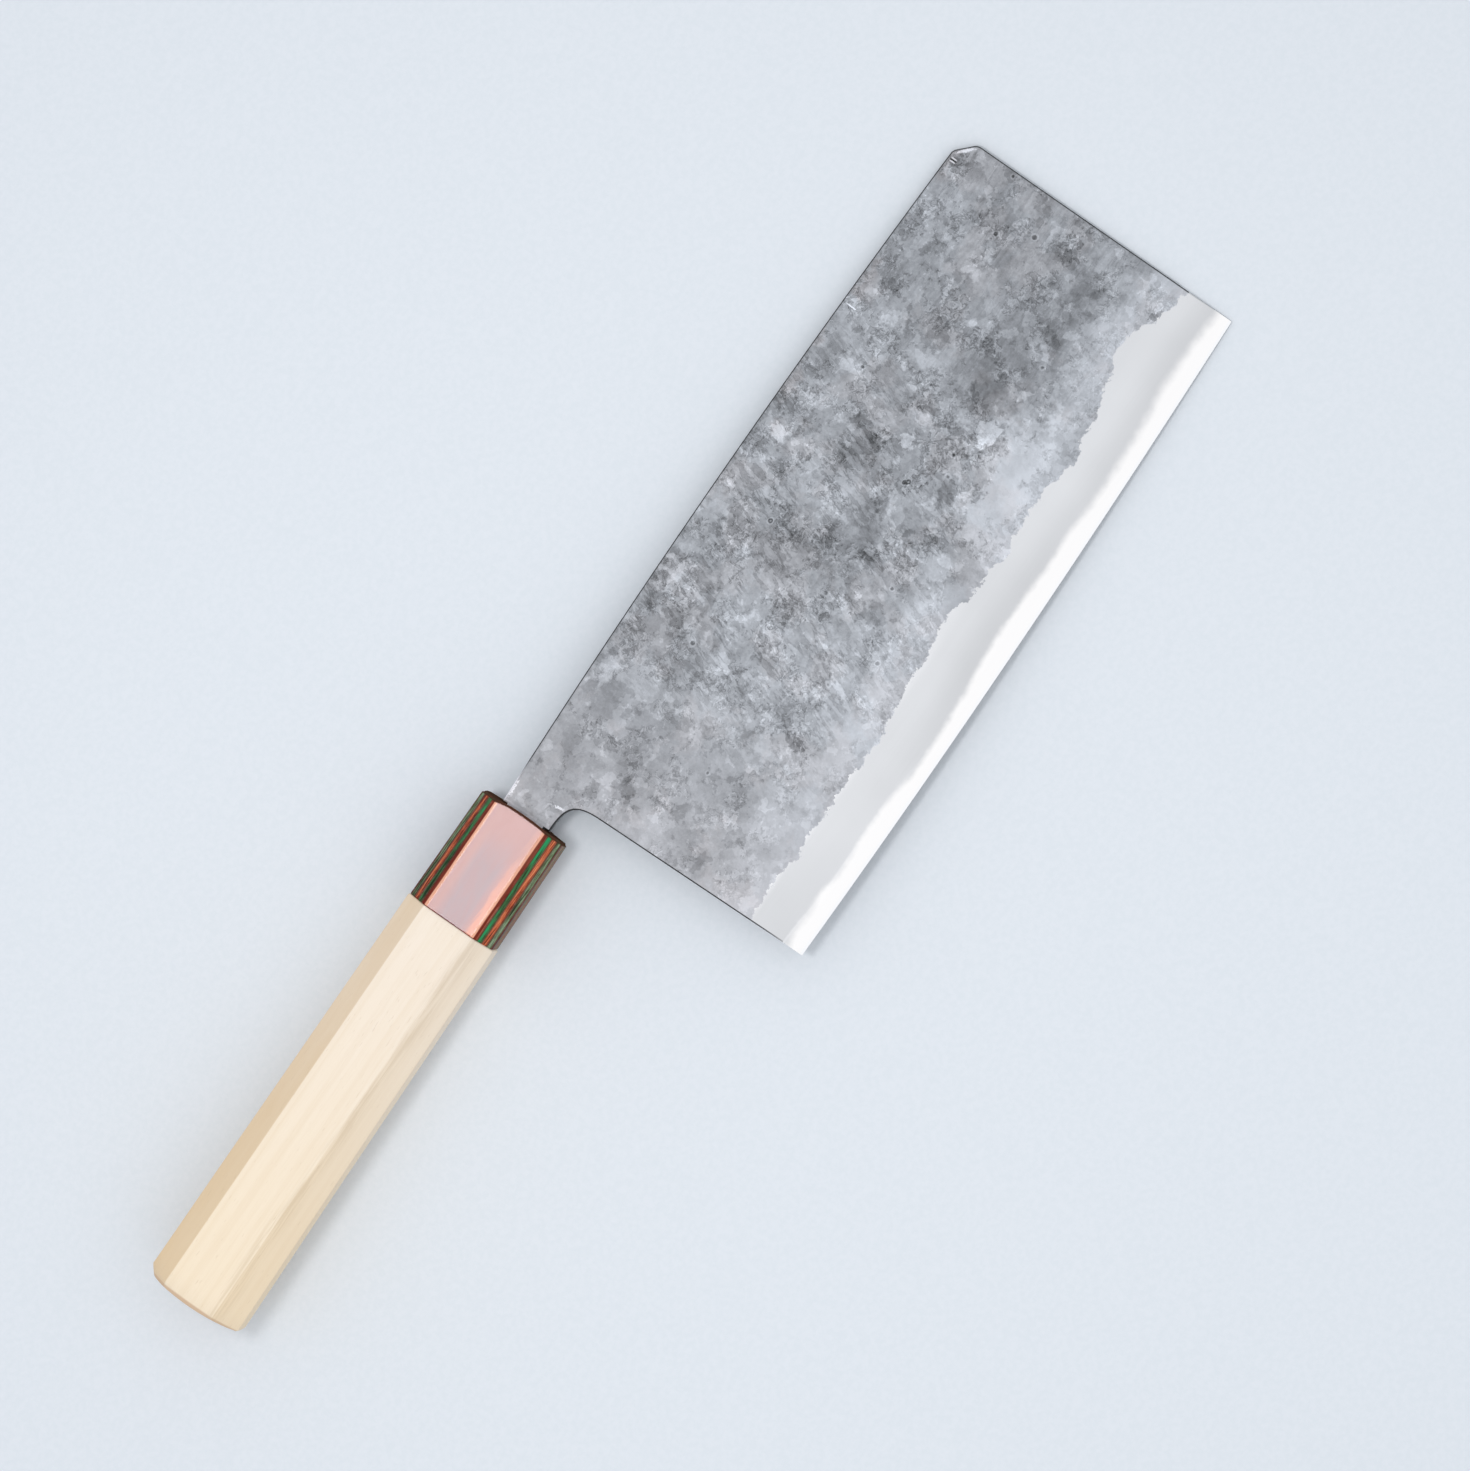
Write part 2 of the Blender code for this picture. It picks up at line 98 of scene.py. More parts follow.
# Where the bright band along the edge begins, polished and painted brighter as painted reflection:
# millimetres from the heel, and above the edge.
POLISH_SHEEN_LINE = ((0, 3.9), (4, 4.8), (8, 4.5), (14.5, 5), (22, 4), (32, 4.7), (41, 4.7), (50, 3.4),
    (60, 3.5), (71, 4), (79, 5), (89, 5.4), (98, 5.1), (110, 4.7), (117, 4.9), (128, 4.1), (143, 4.1),
    (150, 4.4), (158, 5.1), (168, 5), (174, 4.5), (180, 3.9))

# Broad lighter and darker zones of the right face: place and reach in millimetres, and tone.
ZONES = ((24, -16, 18, 17, -0.12), (23, -31, 15, 10, -0.05), (23, -44, 15, 8, 0.05),
    (23, -53, 20, 6, -0.04), (49, -26, 18, 16, 0.065), (47, -43, 16, 10, 0.06), (70, -18, 14, 14, 0.045),
    (70, -42, 15, 9, 0.04), (94, -24, 17, 18, -0.07), (94, -50, 14, 6, 0.05), (117, -2, 18, 14, 0.085),
    (117, -45, 16, 11, 0.065), (141, -6, 16, 20, 0.075), (139, -42, 26, 16, 0.09),
    (183, -40, 11, 18, 0.075), (183, 3, 12, 8, 0.06), (14.5, -37, 9, 18, -0.085), (19, -1, 9, 8, -0.095),
    (35, -2, 10, 9, -0.09), (35, -50, 12, 8, 0.04), (2, 2, 6, 11, 0.085))

# Marks on the right face: what a spot is made of, and then its tone.
# Painted highlights among them: the bright marks at the choil (5.9, -5.5), on the spine by the neck (3.4,
# 6.1) and inside the tip's corner facet (188.2, 3.2).
MARKS = ((27.1, -11.2, 5, 5.6, 20, 0.12, 0.93, -0.055), (18.6, -15.6, 3.4, 2.6, 40, 0.9, 0.6, -0.11),
    (50.3, -42.6, 1.5, 3, -15, 0.7, -0.14), (45, -32, 3, 2.4, 30, 0.9, 0.5, -0.1),
    (45.5, -37.5, 4.2, 2.4, 20, 0.9, 0.4, 0.06), (66, -7, 5.5, 2, 10, 0.9, 0.5, -0.09),
    (136.2, -39, 3.2, 2.8, 10, 0.6, 0.145), (108.4, 2.2, 2.5, 1.7, 55, 0.7, 0.135),
    (107.2, -9.2, 3.4, 2.4, 0, 0.9, 0.5, 0.08), (123.7, -24.3, 2.3, 1.7, 0, 0.7, 0.12),
    (130.8, -24.9, 1.5, 2.4, 20, 0.8, 0.095), (157.6, -11.9, 3.3, 0.7, 15, 0.9, 0.5, 0.13),
    (40, 3.2, 6, 1.6, 0, 0.6, 0.6, 0.07), (66.6, 2.8, 5, 1.1, 0, 0.6, 0.7, 0.1),
    (139, -35.5, 14, 6.5, 5, 0.7, 0.3, -0.095), (173, -39.5, 14, 4.6, 0, 0.7, 0.3, -0.1),
    (118, -17, 12, 4, 60, 0.7, 0.3, -0.06), (96, -31, 16, 4.5, 25, 0.8, 0.3, -0.075),
    (181.2, -56.2, 2.2, 1, -40, 0.7, -0.16), (188.2, 3.2, 3.2, 0.5, -45, 0.3, 0.4, 0.26),
    (5.9, -5.5, 0.42, 1.6, 8, 0.9, 0.5, 0.26), (3.4, 6.1, 2.8, 0.45, 1, 0.8, 0.5, 0.22),
    (142.6, 4.8, 0.2, 1.6, -3, 0.2, 0.26), (184.2, 4.5, 0.2, 0.9, 0, 0.2, 0.26),
    (185, 4.5, 0.2, 0.9, 0, 0.2, 0.24), (184.6, 4.5, 0.17, 1.1, 0, 0.2, -0.34))

# Handle and ferrule: octagons with two flats parallel to the blade. A pair is the value in front
# and at the butt, and the ferrule's height and thickness are those of its front. The butt has a
# chamfer for its flats, for its spine's side and for its edge's side.
HANDLE_LENGTH = 0.14
HANDLE_HEIGHT = (0.0243, 0.025)
HANDLE_THICKNESS = (0.0206, 0.0213)
HANDLE_FLAT = 0.0139
HANDLE_ARRIS = 0.0006
SHOULDER_ROUNDING = 0.0004
BUTT_CHAMFERS = (0.001, 0.0021, 0.0004)
BUTT_DOME = 0.0014
BUTT_REACH = 0.0008
BUTT_BELLY = 0.0008
WOOD_FRONT_X = -0.03055
WOOD_WAVE = 0.000035
WOOD_WAVE_SIZE = (0.021, 0.008)
FERRULE_LENGTH = 0.0305
FERRULE_HEIGHT = 0.0229
FERRULE_THICKNESS = 0.0196
FERRULE_STEP = 0.00035
FERRULE_ARRIS = 0.0005
FERRULE_NOSE = 0.00055
FERRULE_CROWN = 0.00006
FRONT_BOW = 0.0004
FRONT_REACH = 0.00028
LOWEST_LIFT = -0.35
VENEER_THICKNESS = 0.0012
VENEER_GAP = 0.00002
VENEER_COUNT = 17
TENON_RADIUS = 0.0069
TENON_END_X = -0.01055
BORE_RADIUS = 0.0072
BORE_END_X = -0.01025
POCKET_MARGIN = 0.0009
POCKET_END_X = -0.1009

# How finely the handle's curves are drawn.
ARRIS_STEPS = 4
FLAT_SHARES = (0.04, 0.25, 0.5, 0.75, 0.96)
END_STEPS = 4
BODY_STEPS = 40
ROUND_SIDES = 72
OVERRUN = 0.003
SAME_POINT = 1e-7
MERGE = 5e-6

# Colours as they are seen: red, green and blue of a veneer's dark, middle and light streaks.
# The number is that of a layer counted from below, or 1 for any other red and 0 for green.
DYES = {
    0: ((16, 30, 8), (44, 84, 42), (40, 140, 84)),
    1: ((92, 18, 6), (176, 70, 40), (216, 118, 78)),
    13: ((44, 16, 18), (104, 56, 56), (140, 84, 84)),
    14: ((34, 44, 20), (90, 104, 72), (140, 160, 128)),
    15: ((84, 18, 8), (190, 92, 58), (224, 132, 90)),
    16: ((22, 44, 14), (66, 102, 62), (32, 152, 94)),
    17: ((92, 24, 10), (176, 78, 50), (232, 150, 118))}
SATIN_TINT = (1.001, 1, 1.005)
BRIGHT_TINT = (1.013, 1, 0.991)
GLUE = (84, 28, 14)
GAMMA = 2.2
ROOM_LIGHT = 0.86

# Camera: where the photo's centre falls on the knife, and how it is looked at. Floor: half a side.
VIEW_CENTRE = (0.0436, -0.03, 0)
VIEW_DISTANCE = 1.2
VIEW_WIDTH = 0.3474
VIEW_TILT = math.radians(5.03)
VIEW_LEAN = math.radians(3.73)
VIEW_TURN = math.radians(55.53)
SENSOR = 36
FLOOR_HALF = 1


def mount(name):
    """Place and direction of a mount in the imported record."""
    found = next(item for item in frame["record"]["mounts"] if item["name"] == name)
    return Vector(found["pos_m"]), Vector(found["axis"])


def knife_axes():
    """From the knife's axes to the frame, by the mounts on the handle's flats."""
    mounts_x = -0.085
    right, outward = mount("handle_flat_right")
    left, inward = mount("handle_flat_left")
    up = (outward - inward).normalized()
    forward = (Vector((1, 0, 0)) - up * up.x).normalized()
    turn = Matrix((forward, up.cross(forward), up)).transposed().to_4x4()
    return Matrix.Translation((right + left) / 2 - forward * mounts_x) @ turn


KNIFE = knife_axes()


def between(share, start, end):
    """Value a share of the way from start to end."""
    return start + share * (end - start)


def cubic(share, start, first, second, end):
    """Cubic Bezier curve, a share of the way along."""
    rest = 1 - share
    return (start * rest ** 3 + 3 * first * share * rest ** 2 + 3 * second * share ** 2 * rest
        + end * share ** 3)


def along_points(place, points):
    """Smooth height at a place along a line of points."""
    place = min(max(place, points[0][0]), points[-1][0])
    for (start, height), (end, next_height) in zip(points, points[1:]):
        if place <= end:
            share = (place - start) / (end - start)
            return between((1 - math.cos(math.pi * share)) / 2, height, next_height)


def front_x(y):
    """Where the blade's front lies at a height."""
    rise = (y + TIP_DROP) / (TIP_DROP + SPINE_TIP_HEIGHT)
    return HEEL_X + EDGE_LENGTH + FRONT_RAKE * rise


def spine_height(x):
    """Height of the spine, from the ferrule to the blade's front."""
    share = (x - SHOULDER_X) / (front_x(SPINE_TIP_HEIGHT) - SHOULDER_X)
    return cubic(share, NECK_HALF, NECK_HALF + SPINE_CROWN[0], SPINE_TIP_HEIGHT + SPINE_CROWN[1],
        SPINE_TIP_HEIGHT)


def edge_height(share):
    """Height of the cutting edge, from heel to tip."""
    return cubic(share, -HEEL_DROP, -HEEL_DROP - EDGE_BELLY[0], -TIP_DROP - EDGE_BELLY[1], -TIP_DROP)


def above_edge(share, rise):
    """Point a share of the way along the blade and a rise above its edge."""
    y = edge_height(share) + rise
    return between(share, HEEL_X, front_x(y)), y


def blade_share(x):
    """Share of the way from heel to front."""
    return (x - HEEL_X) / EDGE_LENGTH


def rise_at(x, y):
    """Height of a point above the cutting edge."""
    return y - edge_height(min(max(blade_share(x), 0), 1))


def face_half(x, y):
    """Half the thickness on the blade's flat."""
    to_bevel = (NECK_HALF - y) / (NECK_HALF + HEEL_DROP - BEVEL_HEIGHT)
    thickness = between(blade_share(x), *SPINE_THICKNESS)
    return (thickness - to_bevel * FACE_THINNING) / 2


def tang_share(x):
    """Share of the way from the shoulder back to the tang's end."""
    return (SHOULDER_X - x) / (SHOULDER_X + TANG_LENGTH)


def tang_half(x):
    """Half the tang's thickness."""
    return between(tang_share(x), face_half(SHOULDER_X, NECK_HALF), TANG_END_THICKNESS / 2)


def tang_rise(x):
    """Half the tang's height."""
    return between(tang_share(x), TANG_HALF_HEIGHT, TANG_END_HALF_HEIGHT)


def flat_half(x, y):
    """Half the thickness over all layers, before the bevel is ground."""
    return tang_half(x) if x < SHOULDER_X else face_half(x, y)


def bevel_half(x, y):
    """Half the thickness that the ground bevel leaves."""
    share = min(max(blade_share(x), 0), 1)
    top = face_half(*above_edge(share, BEVEL_HEIGHT))
    return between(rise_at(x, y) / BEVEL_HEIGHT, EDGE_HALF, top)


def core_half(x):
    """Half the core's thickness."""
    root = max(x, SHOULDER_X)
    bevel_top = face_half(root, BEVEL_HEIGHT - HEEL_DROP)
    showing = along_points(blade_share(root), CORE_SHOWING)
    on_blade = between(showing / BEVEL_HEIGHT, EDGE_HALF, bevel_top)
    return on_blade * flat_half(x, 0) / face_half(root, 0)


def core_top_rise(x, gap=0):
    """Rise above the edge where the bevel reaches the core's flat, or a gap beyond it."""
    top = face_half(*above_edge(blade_share(x), BEVEL_HEIGHT))
    return BEVEL_HEIGHT * (core_half(x) + gap - EDGE_HALF) / (top - EDGE_HALF)


def forged_half(x, y, side):
    """Half the thickness of the forged surface, with its waves."""
    half = flat_half(x, y)
    if x < SHOULDER_X:
        return half
    grow = min((x - SHOULDER_X) / HEEL_X, 1)
    for height, length in FORGE_WAVES:
        half += grow * height * noise.noise(Vector((x, y, side * length * 5)) / length)
    return half


def ground_half(x, y, side):
    """Half the thickness after grinding, softly joined."""
    forged, bevel = forged_half(x, y, side), bevel_half(x, y)
    blend = 0.00002
    gap = max(blend - abs(forged - bevel), 0) / blend
    return min(forged, bevel) - gap * gap * blend / 4


def above_line(x, y, share, line):
    """Millimetres above a line along the blade, taken at a share of the way."""
    return rise_at(x, y) / MM - along_points(share * EDGE_LENGTH / MM, line)


def arc(centre_x, centre_y, radius, start, end, steps):
    """Points along an arc, its angles in degrees from +X."""
    angles = [math.radians(between(step / steps, start, end)) for step in range(steps + 1)]
    return [(centre_x + radius * math.cos(a), centre_y + radius * math.sin(a)) for a in angles]


def tip_corner():
    """Corner between front and spine: a straight facet with softened ends."""
    corner_x = front_x(SPINE_TIP_HEIGHT)
    corner_y = spine_height(corner_x - TIP_RADIUS)
    near, far = TIP_SOFTENING, TIP_FACET + TIP_SOFTENING * math.tan(math.pi / 8)
    return (arc(corner_x - near, corner_y - far, near, 0, 45, 6)
        + arc(corner_x - far, corner_y - near, near, 45, 90, 6))


def body_outline(low_front, low_heel):
    """Blade outline but for its lower line, counterclockwise."""
    corner_x = front_x(SPINE_TIP_HEIGHT) - TIP_RADIUS
    points = [low_front] + tip_corner()
    steps = math.floor((corner_x - SHOULDER_X) / GRID)
    for step in range(steps - 1, -1, -1):
        x = between(step / steps, SHOULDER_X, corner_x)
        points.append((x, spine_height(x)))
    points += [(SHOULDER_X, TANG_HALF_HEIGHT), (-TANG_LENGTH, TANG_END_HALF_HEIGHT),
        (-TANG_LENGTH, -TANG_END_HALF_HEIGHT), (SHOULDER_X, -TANG_HALF_HEIGHT)]
    across, down = zip(*CHOIL)
    points += [(cubic(step / CHOIL_STEPS, *across), cubic(step / CHOIL_STEPS, *down))
        for step in range(CHOIL_STEPS + 1)]
    return points + [low_heel]


def low_line(rise_of):
    """Points from heel to front, each at its own rise above the edge."""
    steps = math.ceil(EDGE_LENGTH / GRID)
    shares = [step / steps for step in range(steps + 1)]
    return [above_edge(share, rise_of(between(share, HEEL_X, HEEL_X + EDGE_LENGTH))) for share in shares]


def inset(points, distance):
    """Open counterclockwise line moved inwards, its corners kept sharp."""
    normals = []
    for (x0, y0), (x1, y1) in zip(points, points[1:]):
        length = math.hypot(x1 - x0, y1 - y0)
        normals.append(Vector(((y0 - y1) / length, (x1 - x0) / length)))
    moved = []
    for i, point in enumerate(points):
        before, after = normals[max(i - 1, 0)], normals[min(i, len(normals) - 1)]
        step = (before + after) / (1 + before.dot(after))
        moved.append((point[0] + step.x * distance, point[1] + step.y * distance))
    return moved


def dice(bm, spacing):
    """Cut flat faces into a grid."""
    for axis in (0, 1):
        places = [vert.co[axis] for vert in bm.verts]
        low, high = min(places), max(places)
        count = math.ceil((high - low) / spacing)
        normal = Vector((1 - axis, axis, 0))
        for i in range(1, count):
            bmesh.ops.bisect_plane(bm, geom=bm.verts[:] + bm.edges[:] + bm.faces[:], dist=SAME_POINT,
                plane_no=normal, plane_co=normal * between(i / count, low, high))
    bmesh.ops.remove_doubles(bm, verts=bm.verts, dist=MERGE)


def rim_directions(edges):
    """For each vertex on a rim, the way out of it in plan."""
    normals = {}
    for edge in edges:
        loop = edge.link_loops[0]
        along = loop.link_loop_next.vert.co - loop.vert.co
        outward = Vector((along.y, -along.x, 0)).normalized()
        for vert in edge.verts:
            normals.setdefault(vert, []).append(outward)
    directions = {}
    for vert, found in normals.items():
        first, last = found[0], found[-1]
        directions[vert] = (first + last) / (1 + first.dot(last))
    return directions


def link(name, data):
    """New object with its data, linked to the scene."""
    obj = bpy.data.objects.new(name, data)
    bpy.context.scene.collection.objects.link(obj)
    return obj


def add_object(name, bm, smooth_angle=35):
    """Turn a closed bmesh into an object in the frame."""
    bmesh.ops.recalc_face_normals(bm, faces=bm.faces)
    if bm.calc_volume(signed=True) < 0:
        bmesh.ops.reverse_faces(bm, faces=bm.faces)
    bm.transform(KNIFE)
    mesh = bpy.data.meshes.new(name)
    bm.to_mesh(mesh)
    bm.free()
    mesh.shade_smooth()
    mesh.set_sharp_from_angle(angle=math.radians(smooth_angle))
    return link(name, mesh)


def dress(obj, material, slot, *nodes):
    """Give a piece its material, and let it stand for its CAD nodes."""
    obj.data.materials.clear()
    obj.data.materials.append(material)
    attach(obj, "root")
    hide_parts(*nodes)
    return obj


def add_cladding(name, side):
    """One cladding: forged flat, ground bevel, rounded rim and a flat inner face."""
    ends = low_line(lambda x: core_top_rise(x, LAMINATION_GAP))
    body = inset(body_outline(ends[-1], ends[0]), RIM_RADIUS)
    bm = bmesh.new()
    layers = {key: bm.verts.layers.float.new(key) for key in ("rim", "scale", "polish_sheen")}
    face = bm.faces.new([bm.verts.new((x, y, 0)) for x, y in body + ends[1:-1]])
    for loop in list(face.loops)[len(body) - 1:]:
        loop.edge.seam = True
    dice(bm, GRID)
    surface, faces = bm.verts[:], bm.faces[:]
    border = [edge for edge in bm.edges if edge.is_boundary]
    directions = rim_directions([edge for edge in border if not edge.seam])
    chains = {}
    for vert in surface:
        x, y = vert.co.x, vert.co.y
        low = core_half(x) + LAMINATION_GAP
        vert.co.z = top = max(ground_half(x, y, side), low + THINNEST)
        drop = min(RIM_RADIUS, (top - low) / 2)
        chains[vert] = [vert]
        if vert in directions:
            for step in range(1, RIM_STEPS + 1):
                angle = math.pi / 2 * step / RIM_STEPS
                place = vert.co + directions[vert] * RIM_RADIUS * math.sin(angle)
                place.z = top - drop * (1 - math.cos(angle))
                chains[vert].append(bm.verts.new(place))
            chains[vert].append(bm.verts.new((place.x, place.y, low)))
        chains[vert].append(bm.verts.new((x, y, low)))
    for edge in border:
        first, second = [chains[vert] for vert in edge.verts]
        if edge.seam:
            first, second = (first[0], first[-1]), (second[0], second[-1])
        for k in range(len(first) - 1):
            bm.faces.new((first[k], first[k + 1], second[k + 1], second[k]))
    for face in faces:
        bm.faces.new([chains[vert][-1] for vert in reversed(face.verts)])
    bmesh.ops.holes_fill(bm, edges=[edge for edge in bm.edges if edge.is_boundary])
    for vert in bm.verts:
        x, y, z = vert.co
        place = blade_share(x) if side > 0 else 1 - blade_share(x)
        vert[layers["rim"]] = 0 if vert in chains else 1
        vert[layers["scale"]] = above_line(x, y, place, GRIND_LINE)
        vert[layers["polish_sheen"]] = above_line(x, y, blade_share(x), POLISH_SHEEN_LINE)
        vert.co.z = z * side
    return add_object(name, bm)


def add_core(name):
    """Core steel: a plate, ground on both sides at the edge."""
    cover = 0.003
    rises = [lambda x: 0, lambda x: EDGE_POLISH, lambda x: 0.35 * core_top_rise(x),
        lambda x: 0.7 * core_top_rise(x), core_top_rise, lambda x: core_top_rise(x) + cover]
    rows = [low_line(rise) for rise in rises]
    halves = [lambda x, y: EDGE_HALF / 2, *[bevel_half] * 4, lambda x, y: core_half(x)]
    body = body_outline(rows[-1][-1], rows[-1][0])[1:-1]
    bm = bmesh.new()
    edge_layer = bm.verts.layers.float.new("edge")
    polish_sheen_layer = bm.verts.layers.float.new("polish_sheen")

    def pair(x, y, half):
        verts = [bm.verts.new((x, y, half)), bm.verts.new((x, y, -half))]
        for vert in verts:
            vert[edge_layer] = rise_at(x, y) / MM
            vert[polish_sheen_layer] = above_line(x, y, blade_share(x), POLISH_SHEEN_LINE)
        return verts

    grid = [[pair(x, y, half(x, y)) for x, y in row] for row, half in zip(rows, halves)]
    rest = [pair(x, y, core_half(x)) for x, y in body]
    rim = [row[-1] for row in grid] + rest + [row[0] for row in reversed(grid)] + grid[0][1:-1]
    for side in (0, 1):
        for low, high in zip(grid, grid[1:]):
            for k in range(len(low) - 1):
                bm.faces.new([ends[side] for ends in (low[k], low[k + 1], high[k + 1], high[k])])
        bm.faces.new([ends[side] for ends in grid[-1] + rest])
    for k, (start, end) in enumerate(zip(rim, rim[1:] + rim[:1])):
        bm.faces.new((start[0], end[0], end[1], start[1]))
    return add_object(name, bm, 6)


def loft(rings):
    """Closed solid through rings of points that match one to one."""
    bm = bmesh.new()
    rows = [[bm.verts.new(point) for point in ring] for ring in rings]
    for near, far in zip(rows, rows[1:]):
        for i in range(len(near)):
            bm.faces.new((near[i - 1], near[i], far[i], far[i - 1]))
    bm.faces.new(rows[0])
    bm.faces.new(rows[-1])
    return bm


def outward(point):
    """Way out from the knife's long axis."""
    return Vector((0, point.y, point.z)).normalized()


def octagon(x, height, thickness, arris, crown, depth=0):
    """Octagonal ring with rounded arrises and crowned facets."""
    corner_share = math.tan(math.pi / 8)
    rise, half = height / 2 - depth, thickness / 2 - depth
    flat = HANDLE_FLAT / 2 - depth * corner_share
    side = half - (rise - flat)
    corners = [Vector((x, rise, side)), Vector((x, flat, half))]
    corners += [Vector((x, -corner.y, corner.z)) for corner in reversed(corners)]
    corners += [Vector((x, -corner.y, -corner.z)) for corner in corners]
    tangent = arris * corner_share
    ring = []
    for i, corner in enumerate(corners):
        after = corners[(i + 1) % len(corners)]
        start = corner + (corners[i - 1] - corner).normalized() * tangent
        end = corner + (after - corner).normalized() * tangent
        for step in range(ARRIS_STEPS + 1):
            share = step / ARRIS_STEPS
            ring.append(start.lerp(corner, share).lerp(corner.lerp(end, share), share))
        far = after + (corner - after).normalized() * tangent
        middle = (end + far) / 2
        for share in FLAT_SHARES:
            swell = crown * (1 - (2 * share - 1) ** 4)
            ring.append(end.lerp(far, share) + outward(middle) * swell)
    return ring


def wood_octagon(x, depth=0):
    """Section of the wooden handle, its facets a little uneven."""
    share = (WOOD_FRONT_X - x) / (WOOD_FRONT_X + HANDLE_LENGTH)
    ring = octagon(x, between(share, *HANDLE_HEIGHT), between(share, *HANDLE_THICKNESS), HANDLE_ARRIS,
        WOOD_WAVE, depth)
    along, across = WOOD_WAVE_SIZE
    for point in ring:
        wave = noise.noise(Vector((x / along, point.y / across, point.z / across)))
        point += outward(point) * wave * WOOD_WAVE
        low = max(0, -point.y - HANDLE_FLAT / 2) / (HANDLE_HEIGHT[1] - HANDLE_FLAT) * 2
        point.y -= BUTT_BELLY * low * max(0, share)
    return ring


def butt_ring(share, chamfer_share):
    """Section of the domed butt, its chamfer larger at the spine's side."""
    sections, ring = [], []
    for size in BUTT_CHAMFERS:
        along, depth = bulged(size, chamfer_share, 1.1)
        depth = between(share, depth, HANDLE_FLAT / 2)
        sections.append(wood_octagon(size - along - HANDLE_LENGTH - BUTT_REACH, depth))
    for point, spine_point, edge_point in zip(*sections):
        off = min(max(point.y / HANDLE_HEIGHT[1] * 2, -1), 1)
        point = point.lerp(spine_point if off > 0 else edge_point, off ** 2)
        point.x += BUTT_DOME * (point.yz.length / HANDLE_HEIGHT[1] * 2) ** 2
        ring.append(point)
    return ring


def ferrule_octagon(x, depth=0):
    """Section of the ferrule, a step below the wood at its back."""
    share = -x / FERRULE_LENGTH
    back_height = HANDLE_HEIGHT[0] - 2 * FERRULE_STEP
    back_thickness = HANDLE_THICKNESS[0] - 2 * FERRULE_STEP
    ring = octagon(x, between(share, FERRULE_HEIGHT, back_height),
        between(share, FERRULE_THICKNESS, back_thickness), FERRULE_ARRIS, FERRULE_CROWN, depth)
    for point in ring:
        off = min(abs(point.y) / (HANDLE_FLAT / 2), 1)
        lift = max(point.z / FERRULE_THICKNESS * 2, LOWEST_LIFT)
        bow = FRONT_BOW * (1 + max(lift, 0) if point.y > 0 else 1)
        point.x += (FRONT_REACH * lift - bow * off ** 3) * max(0, 1 + x / FERRULE_LENGTH)
    return ring


def bulged(size, share, bulge=1.35):
    """Place along the axis and depth, a share of the way round a chamfer."""
    return size * (1 - (1 - share) ** bulge), size * share ** bulge


def end_profile(size):
    """Rounded chamfer of an end, in steps."""
    return [bulged(size, step / END_STEPS) for step in range(END_STEPS + 1)]


def circle_like(ring, x, radius):
    """Round ring, its points in line with another ring's."""
    return [Vector((x, 0, 0)) + outward(point) * radius for point in ring]


def pocket_size(x):
    """Half the height and half the thickness of the tang's pocket."""
    return tang_rise(x) + POCKET_MARGIN, tang_half(x) + POCKET_MARGIN


def pocket_like(ring, x):
    """Ring of the tang's pocket, its points in line with another ring's."""
    rise, half = pocket_size(x)
    points = []
    for point in ring:
        reach = max(abs(point.y) / rise, abs(point.z) / half)
        points.append(Vector((x, point.y / reach, point.z / reach)))
    return points


def add_handle(name):
    """Wooden handle with tenon, pocket, rounded shoulder and domed butt."""
    tenon_chamfer = 0.0006
    front = wood_octagon(WOOD_FRONT_X, SHOULDER_ROUNDING)
    rings = [pocket_like(front, POCKET_END_X), pocket_like(front, TENON_END_X),
        circle_like(front, TENON_END_X, TENON_RADIUS - tenon_chamfer),
        circle_like(front, TENON_END_X - tenon_chamfer, TENON_RADIUS),
        circle_like(front, WOOD_FRONT_X, TENON_RADIUS)]
    for along, depth in reversed(end_profile(SHOULDER_ROUNDING)):
        rings.append(wood_octagon(WOOD_FRONT_X - SHOULDER_ROUNDING + along, depth))
    body_start = WOOD_FRONT_X - SHOULDER_ROUNDING
    body_end = -HANDLE_LENGTH + BUTT_DOME + max(BUTT_CHAMFERS)
    for step in range(1, BODY_STEPS):
        rings.append(wood_octagon(between(step / BODY_STEPS, body_start, body_end)))
    for step in range(2 * END_STEPS + 1):
        rings.append(butt_ring(0, step / END_STEPS / 2))
    for step in range(1, END_STEPS + 1):
        rings.append(butt_ring(step / END_STEPS, 1))
    return add_object(name, loft(rings), 40)


def trim(bm, point, normal):
    """Cut away what lies beyond a plane, and close the cut."""
    geometry = bm.verts[:] + bm.edges[:] + bm.faces[:]
    cut = bmesh.ops.bisect_plane(bm, geom=geometry, dist=SAME_POINT, plane_co=point, plane_no=normal,
        clear_outer=True)
    rim = [item for item in cut["geom_cut"] if isinstance(item, bmesh.types.BMEdge)]
    bmesh.ops.holes_fill(bm, edges=rim)


def cut(obj, cutters):
    """Apply exact Boolean cuts."""
    for cutter in cutters:
        modifier = obj.modifiers.new(cutter.name, "BOOLEAN")
        modifier.operation = "DIFFERENCE"
        modifier.solver = "EXACT"
        modifier.object = cutter
    depsgraph = bpy.context.evaluated_depsgraph_get()
    mesh = bpy.data.meshes.new_from_object(obj.evaluated_get(depsgraph))
    obj.modifiers.clear()
    obj.data = mesh


